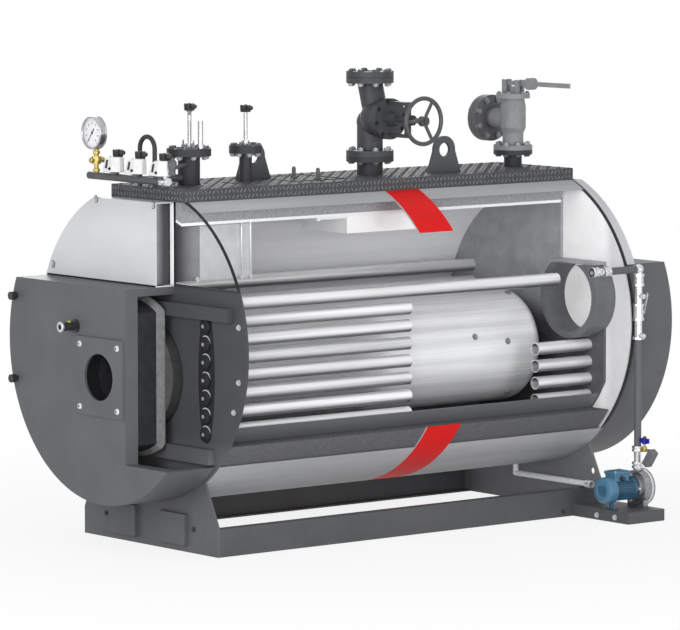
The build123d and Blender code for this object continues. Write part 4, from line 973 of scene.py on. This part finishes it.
class BOILER_OT_front_trim(bpy.types.Operator):
    """Sight tube rim and lens, gasket and caps of the tubes, and seal, end plate and lip of the upper panel"""
    bl_idname = "boiler.front_trim"
    bl_label = "Front Trim"

    def execute(self, context):
        eye = Vector((-0.186, -0.363, 0.992))
        turned_piece("sight_tube_rim", "zinc", [
            (eye + FRONT * 0.003, REAR, [
                (0.0125, 0), (0.021, 0), (0.0235, 0.002), (0.0235, 0.010), (0.021, 0.012), (0.0125, 0.012)],
             40, True)])
        # A black disc in the mouth of the sight tube: painted shade of its hole.
        turned_piece("sight_tube_hole_shade", "rubber", [
            (eye + FRONT * 0.0005, FRONT, [(0.0135, -0.002), (0.0135, 0), (0.010, 0.0006)], 32)])
        turned_piece("sight_tube_lens", "lens", [
            (eye + Vector((0.0, 0.05, 0.018)), TOP, [(0.008, -0.002), (0.008, 0.005), (0.005, 0.008)], 20)])

        bm = bmesh.new()
        prism(bm, [(TUBE_BANK_X + 0.058 * math.cos(angle), -0.0058, 0.80 + 0.30 * math.sin(angle))
                   for angle in circle(64)], (0, -0.003, 0))
        piece("tube_gasket", bm, "rubber", bevel=0.0008, segments=1)
        rises = (0.541, 0.621, 0.701, 0.781, 0.861, 0.941, 1.021)
        cap = [(0.0345, 0), (0.0345, 0.006), (0.025, 0.012), (0.012, 0.014)]
        tip = [(0.009, 0), (0.009, 0.004), (0.005, 0.006)]
        turned_piece("tube_caps", "rubber", [
            ((TUBE_BANK_X, -0.0125, z), FRONT, cap, 32) for z in rises], bevel=0.001)
        turned_piece("tube_cap_screws", "cast_light", [
            ((TUBE_BANK_X, -0.026, z), FRONT, tip, 6) for z in rises])

        low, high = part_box("front_panel")
        bottom, top, back = low.z + 0.0065, high.z - 0.0065, high.y - 0.0005
        brick_piece("panel_seal", "rubber", [
            ((-0.640, -0.108, 1.1805), (0.181, -0.060, 1.1885))], bevel=0.001)
        brick_piece("panel_end_plate", "panel_inside", [
            ((0.150, low.y + 0.0065, bottom), (0.153, back, top)),
            ((0.153, low.y + 0.0065, bottom), (0.168, low.y + 0.0095, top))], bevel=0.001)
        brick_piece("panel_back_lip", "dryer_enamel", [
            ((0.174, high.y - 0.004, bottom), (0.1835, back, top)),
            ((0.158, high.y - 0.003, bottom), (0.174, back, top))], bevel=0.001)
        return {"FINISHED"}


class BOILER_OT_motor(bpy.types.Operator):
    """Finned motor with its cowl, terminal box, gland and foot"""
    bl_idname = "boiler.motor"
    bl_label = "Pump Motor"

    def execute(self, context):
        x, z = PUMP_X, PUMP_Z
        bm = bmesh.new()
        turned(bm, (x, 2.106, z), REAR, [
            (0.046, 0), (0.046, 0.118), (0.053, 0.120), (0.054, 0.122), (0.054, 0.134)], 48)
        brick(bm, (x - 0.008, 2.112, 0.055), (x + 0.008, 2.128, z - 0.04))
        brick(bm, (x - 0.030, 2.108, 0.055), (x + 0.030, 2.132, 0.063))
        core = piece("motor_body", bm, "blue_paint", bevel=0.0015)
        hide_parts("pump_motor")

        bm = bmesh.new()
        turned(bm, (x, 2.058, z), REAR, [
            (0.030, 0.003), (0.034, 0.0), (0.052, 0.0), (0.059, 0.004), (0.062, 0.011),
            (0.062, 0.052), (0.058, 0.052), (0.058, 0.010)], 56)
        turned(bm, (x + 0.060, 2.086, z - 0.004), NEAR, [(0.014, -0.006), (0.014, 0.001), (0.012, 0.002)], 24)
        # The cowl and the terminal box take the paler copy of the enamel: painted light.
        piece("motor_cowl", bm, "blue_lid_lit", bevel=0.0008, segments=1)
        slats = facing([(x + step, 2.0612, z)
                        for step in (-0.024, -0.016, -0.008, 0.0, 0.008, 0.016, 0.024)], FRONT)
        ribs("motor_cowl_slats", slats, "blue_paint", width=0.003, length=0.044, height=0.002)

        # The terminal box takes the place of the topmost fins.
        box_share = 0.85
        fins = []
        for angle in circle(context.scene.boiler_fasteners.fin_count, 0.5):
            away = Vector((math.sin(angle), 0, math.cos(angle)))
            if away.z < box_share:
                fins.append((Vector((x, 2.170, z)) + away * 0.0445, away, 0.0))
        ribs("motor_fins", fins, "blue_paint", width=0.0028, length=0.112, height=0.0095)

        box_y = 2.155
        bm = bmesh.new()
        loft(bm, [[(x + a * half_x, box_y + b * half_y, z + rise) for a, b in CORNERS]
                  for half_x, half_y, rise in ((0.033, 0.043, 0.036), (0.036, 0.046, 0.074))])
        brick(bm, (x - 0.040, 2.106, z + 0.073), (x + 0.040, 2.204, z + 0.086))
        brick(bm, (x - 0.032, 2.114, z + 0.084), (x + 0.032, 2.196, z + 0.0892))
        piece("motor_terminal_box", bm, "blue_lid_lit", bevel=0.003)
        lid = facing([(x + a * 0.034, box_y + b * 0.043, z + 0.086) for a in (-1, 1) for b in (-1, 1)], TOP)
        bolts("motor_lid_screws", lid, "zinc", "pump_steel", across=0.007, height=0.003, washer=0.0008)
        turned_piece("motor_gland", "black_plastic", [
            ((x + 0.035, 2.150, z + 0.054), NEAR, [
                (0.011, 0), (0.013, 0.002), (0.013, 0.010), (0.010, 0.013), (0.010, 0.018),
                (0.007, 0.021)], 6)], bevel=0.0006)
        return {"FINISHED"}


class BOILER_OT_feed_fittings(bpy.types.Operator):
    """Bolts and gasket of the pump, nuts and lever of the feed pipe, and the drain end"""
    bl_idname = "boiler.feed_fittings"
    bl_label = "Feed Fittings"

    def execute(self, context):
        x, y, z = PUMP_X, FEED_Y, PUMP_Z
        rim = ring_points((x, 2.316, z), REAR, 0.074)
        rim += ring_points((x, 2.240, z), REAR, 0.060, 4, face=FRONT)
        bolts("pump_bolts", rim, "zinc", "pump_steel", across=0.012, height=0.006, washer=0.001)
        turned_piece("pump_gasket", "dial", [
            ((x, 2.3035, z), REAR, [(0.0800, 0), (0.0872, 0), (0.0872, 0.0023), (0.0800, 0.0023)], 56, True)])

        nuts = [((x, y, rise), TOP, nut_profile(0.0245, 0.0268, 0.002, 0.014), 6)
                for rise in (0.231, 0.250, 0.310, 0.324, 0.836, 0.925, 0.991, 1.085, 1.131)]
        nuts += [((x, run, 1.165), FRONT, nut_profile(0.021, 0.0245, 0.002, 0.014), 8)
                 for run in (2.098, 2.072, 2.028, 2.002)]
        nuts += [((x + 0.020, y, rise), NEAR, nut_profile(0.012, 0.0145, 0.002, 0.012), 6)
                 for rise in (0.855, 1.04)]
        turned_piece("feed_nuts", "fitting_steel", nuts, bevel=0.0008)

        bm = bmesh.new()
        turned(bm, (x, 2.300, 0.965), REAR, [(0.010, 0), (0.010, 0.010), (0.006, 0.011), (0.006, 0.018)], 16)
        prism(bm, [(a, 2.311, b) for a, b in (
            (0.727, 0.956), (0.743, 0.956), (0.752, 0.992),
            (0.768, 1.050), (0.757, 1.056), (0.741, 0.998))], (0, 0.004, 0))
        piece("feed_valve_lever", bm, "zinc", bevel=0.001)
        turned_piece("drain_nut", "zinc", [
            ((0.506, 2.170, 0.145), NEAR, [
                (0.011, 0.004), (0.0192, 0.004), (0.0212, 0.006), (0.0212, 0.034),
                (0.0192, 0.0365), (0.011, 0.0365)], 6, True)], bevel=0.0008)
        return {"FINISHED"}


class BOILER_OT_tapping(bpy.types.Operator):
    """Brass tapping, its ribbed switch box and the cap of the wing handle"""
    bl_idname = "boiler.tapping"
    bl_label = "Tapping"

    def execute(self, context):
        x, y, z = 0.783, FEED_Y, 0.323
        brass = turned_piece("tapping_brass", "brass", [
            ((0.7575, y, z), NEAR, [
                (0.008, 0), (0.008, 0.004), (0.012, 0.005), (0.012, 0.013), (0.008, 0.014), (0.008, 0.075)], 6),
            ((x, y, z - 0.009), TOP, [(0.009, 0), (0.012, 0.003), (0.012, 0.022), (0.009, 0.0255)], 24),
            ((x, y, z + 0.014), TOP, [(0.005, 0), (0.005, 0.048)], 16)], bevel=0.0005)
        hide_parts("tapping")

        lean = Matrix.Rotation(math.radians(35), 4, "Y")
        middle = Vector((0.821, y, 0.288))
        half = Vector((0.017, 0.020, 0.042))
        bm = bmesh.new()
        brick(bm, middle - half, middle + half, lean)
        tip = middle + lean @ Vector((0, 0, 0.038))
        turned(bm, tip, lean @ TOP, [(0.014, 0), (0.014, 0.005), (0.009, 0.006)], 20)
        piece("switch_box", bm, "grey_plastic", bevel=0.004, segments=3)
        band = facing([middle + lean @ Vector((0.0165, 0, rise))
                       for rise in (-0.028, -0.014, 0.0, 0.014, 0.028)], lean @ NEAR)
        ribs("switch_box_ribs", band, "grey_plastic", width=0.004, length=0.030, height=0.002)
        turned_piece("wing_cap", "black_plastic", [
            ((x, y, 0.3772), TOP, [(0.0095, 0), (0.0095, 0.004), (0.0075, 0.009), (0.003, 0.0105)], 24)],
            body="wing")
        return {"FINISHED"}


class BOILER_OT_stage(bpy.types.Operator):
    """Pale floor, soft studio light and the camera of the main view"""
    bl_idname = "boiler.stage"
    bl_label = "Stage"

    def execute(self, context):
        scene = context.scene
        settings = scene.boiler_stage
        bm = bmesh.new()
        bmesh.ops.create_circle(bm, cap_ends=True, segments=96, radius=FLOOR_RADIUS)
        floor = solid("floor", bm)
        # Painted floor: matt, white to the eye, with the boiler's shadow kept close around it.
        made, tree, output, where = new_material("pale_studio_floor")
        middle = add(tree, "ShaderNodeVectorMath", {0: where, 1: (0.0, 1.1, 0.0)}, operation="DISTANCE")
        away = add(tree, "ShaderNodeMapRange", {
            "Value": middle.outputs["Value"], "From Min": 1.2, "From Max": 4.0, "To Min": 0.84, "To Max": 1.0},
            interpolation_type="SMOOTHSTEP")
        share = add(tree, "ShaderNodeMath", {
            0: seen_directly(tree), 1: away.outputs["Result"]}, operation="MULTIPLY")
        matt = add(tree, "ShaderNodeBsdfDiffuse", {"Color": linear("#eeeeee")})
        white = add(tree, "ShaderNodeEmission", {"Color": linear("#ffffff"), "Strength": 1.0})
        mixed = add(tree, "ShaderNodeMixShader", {0: share.outputs[0], 1: matt.outputs[0], 2: white.outputs[0]})
        tree.links.new(mixed.outputs[0], output.inputs["Surface"])
        floor.data.materials.append(made)

        world = bpy.data.worlds.new("studio")
        scene.world = world
        world.use_nodes = True
        tree = world.node_tree
        tree.nodes.clear()
        soft = add(tree, "ShaderNodeBackground", {"Color": linear("#fbfcff"), "Strength": WORLD_STRENGTH})
        white = add(tree, "ShaderNodeBackground", {"Color": linear("#ffffff"), "Strength": 1.0})
        mixed = add(tree, "ShaderNodeMixShader", {
            0: seen_directly(tree), 1: soft.outputs[0], 2: white.outputs[0]})
        add(tree, "ShaderNodeOutputWorld", {"Surface": mixed.outputs[0]})

        for name, spot, aim, power, size in LAMPS:
            lamp = bpy.data.lights.new(name, "AREA")
            lamp.energy = power
            lamp.size = size
            made = link(name, lamp)
            made.location = spot
            made.rotation_euler = (Vector(aim) - Vector(spot)).to_track_quat("-Z", "Y").to_euler()

        eye = bpy.data.cameras.new("main_view")
        eye.lens = settings.lens
        eye.sensor_width = SENSOR_MM
        eye.sensor_fit = "HORIZONTAL"
        eye.clip_end = VIEW_DEPTH
        camera = link("main_view", eye)
        camera.location = CAMERA_SPOT
        camera.rotation_euler = (math.pi / 2 - settings.elevation, 0, settings.azimuth)
        scene.camera = camera
        scene.view_settings.view_transform = "Standard"
        return {"FINISHED"}


class BOILER_PT_panel(bpy.types.Panel):
    """Sidebar list of the boiler's dressing steps"""
    bl_label = "Steam Boiler"
    bl_idname = "BOILER_PT_panel"
    bl_space_type = "VIEW_3D"
    bl_region_type = "UI"
    bl_category = "Boiler"

    def draw(self, context):
        layout = self.layout
        scene = context.scene
        for group in (scene.boiler_finishes, scene.boiler_fasteners, scene.boiler_stage):
            for key in group.__annotations__:
                layout.prop(group, key)
        for step in STEPS:
            layout.operator(step.bl_idname)


STEPS = (
    BOILER_OT_finishes,
    BOILER_OT_flange_bolts,
    BOILER_OT_cover_bolts,
    BOILER_OT_tread,
    BOILER_OT_gauge,
    BOILER_OT_switches,
    BOILER_OT_terminal_heads,
    BOILER_OT_manifold_fittings,
    BOILER_OT_front_trim,
    BOILER_OT_motor,
    BOILER_OT_feed_fittings,
    BOILER_OT_tapping,
    BOILER_OT_stage,
)
CLASSES = (BoilerFinishes, BoilerFasteners, BoilerStage, *STEPS, BOILER_PT_panel)


def register():
    for cls in CLASSES:
        bpy.utils.register_class(cls)
    bpy.types.Scene.boiler_finishes = bpy.props.PointerProperty(type=BoilerFinishes)
    bpy.types.Scene.boiler_fasteners = bpy.props.PointerProperty(type=BoilerFasteners)
    bpy.types.Scene.boiler_stage = bpy.props.PointerProperty(type=BoilerStage)


def unregister():
    del bpy.types.Scene.boiler_stage
    del bpy.types.Scene.boiler_fasteners
    del bpy.types.Scene.boiler_finishes
    for cls in reversed(CLASSES):
        bpy.utils.unregister_class(cls)


def main():
    register()
    bpy.ops.boiler.finishes()
    bpy.ops.boiler.flange_bolts()
    bpy.ops.boiler.cover_bolts()
    bpy.ops.boiler.tread()
    bpy.ops.boiler.gauge()
    bpy.ops.boiler.switches()
    bpy.ops.boiler.terminal_heads()
    bpy.ops.boiler.manifold_fittings()
    bpy.ops.boiler.front_trim()
    bpy.ops.boiler.motor()
    bpy.ops.boiler.feed_fittings()
    bpy.ops.boiler.tapping()
    bpy.ops.boiler.stage()


if __name__ == "__main__":
    main()
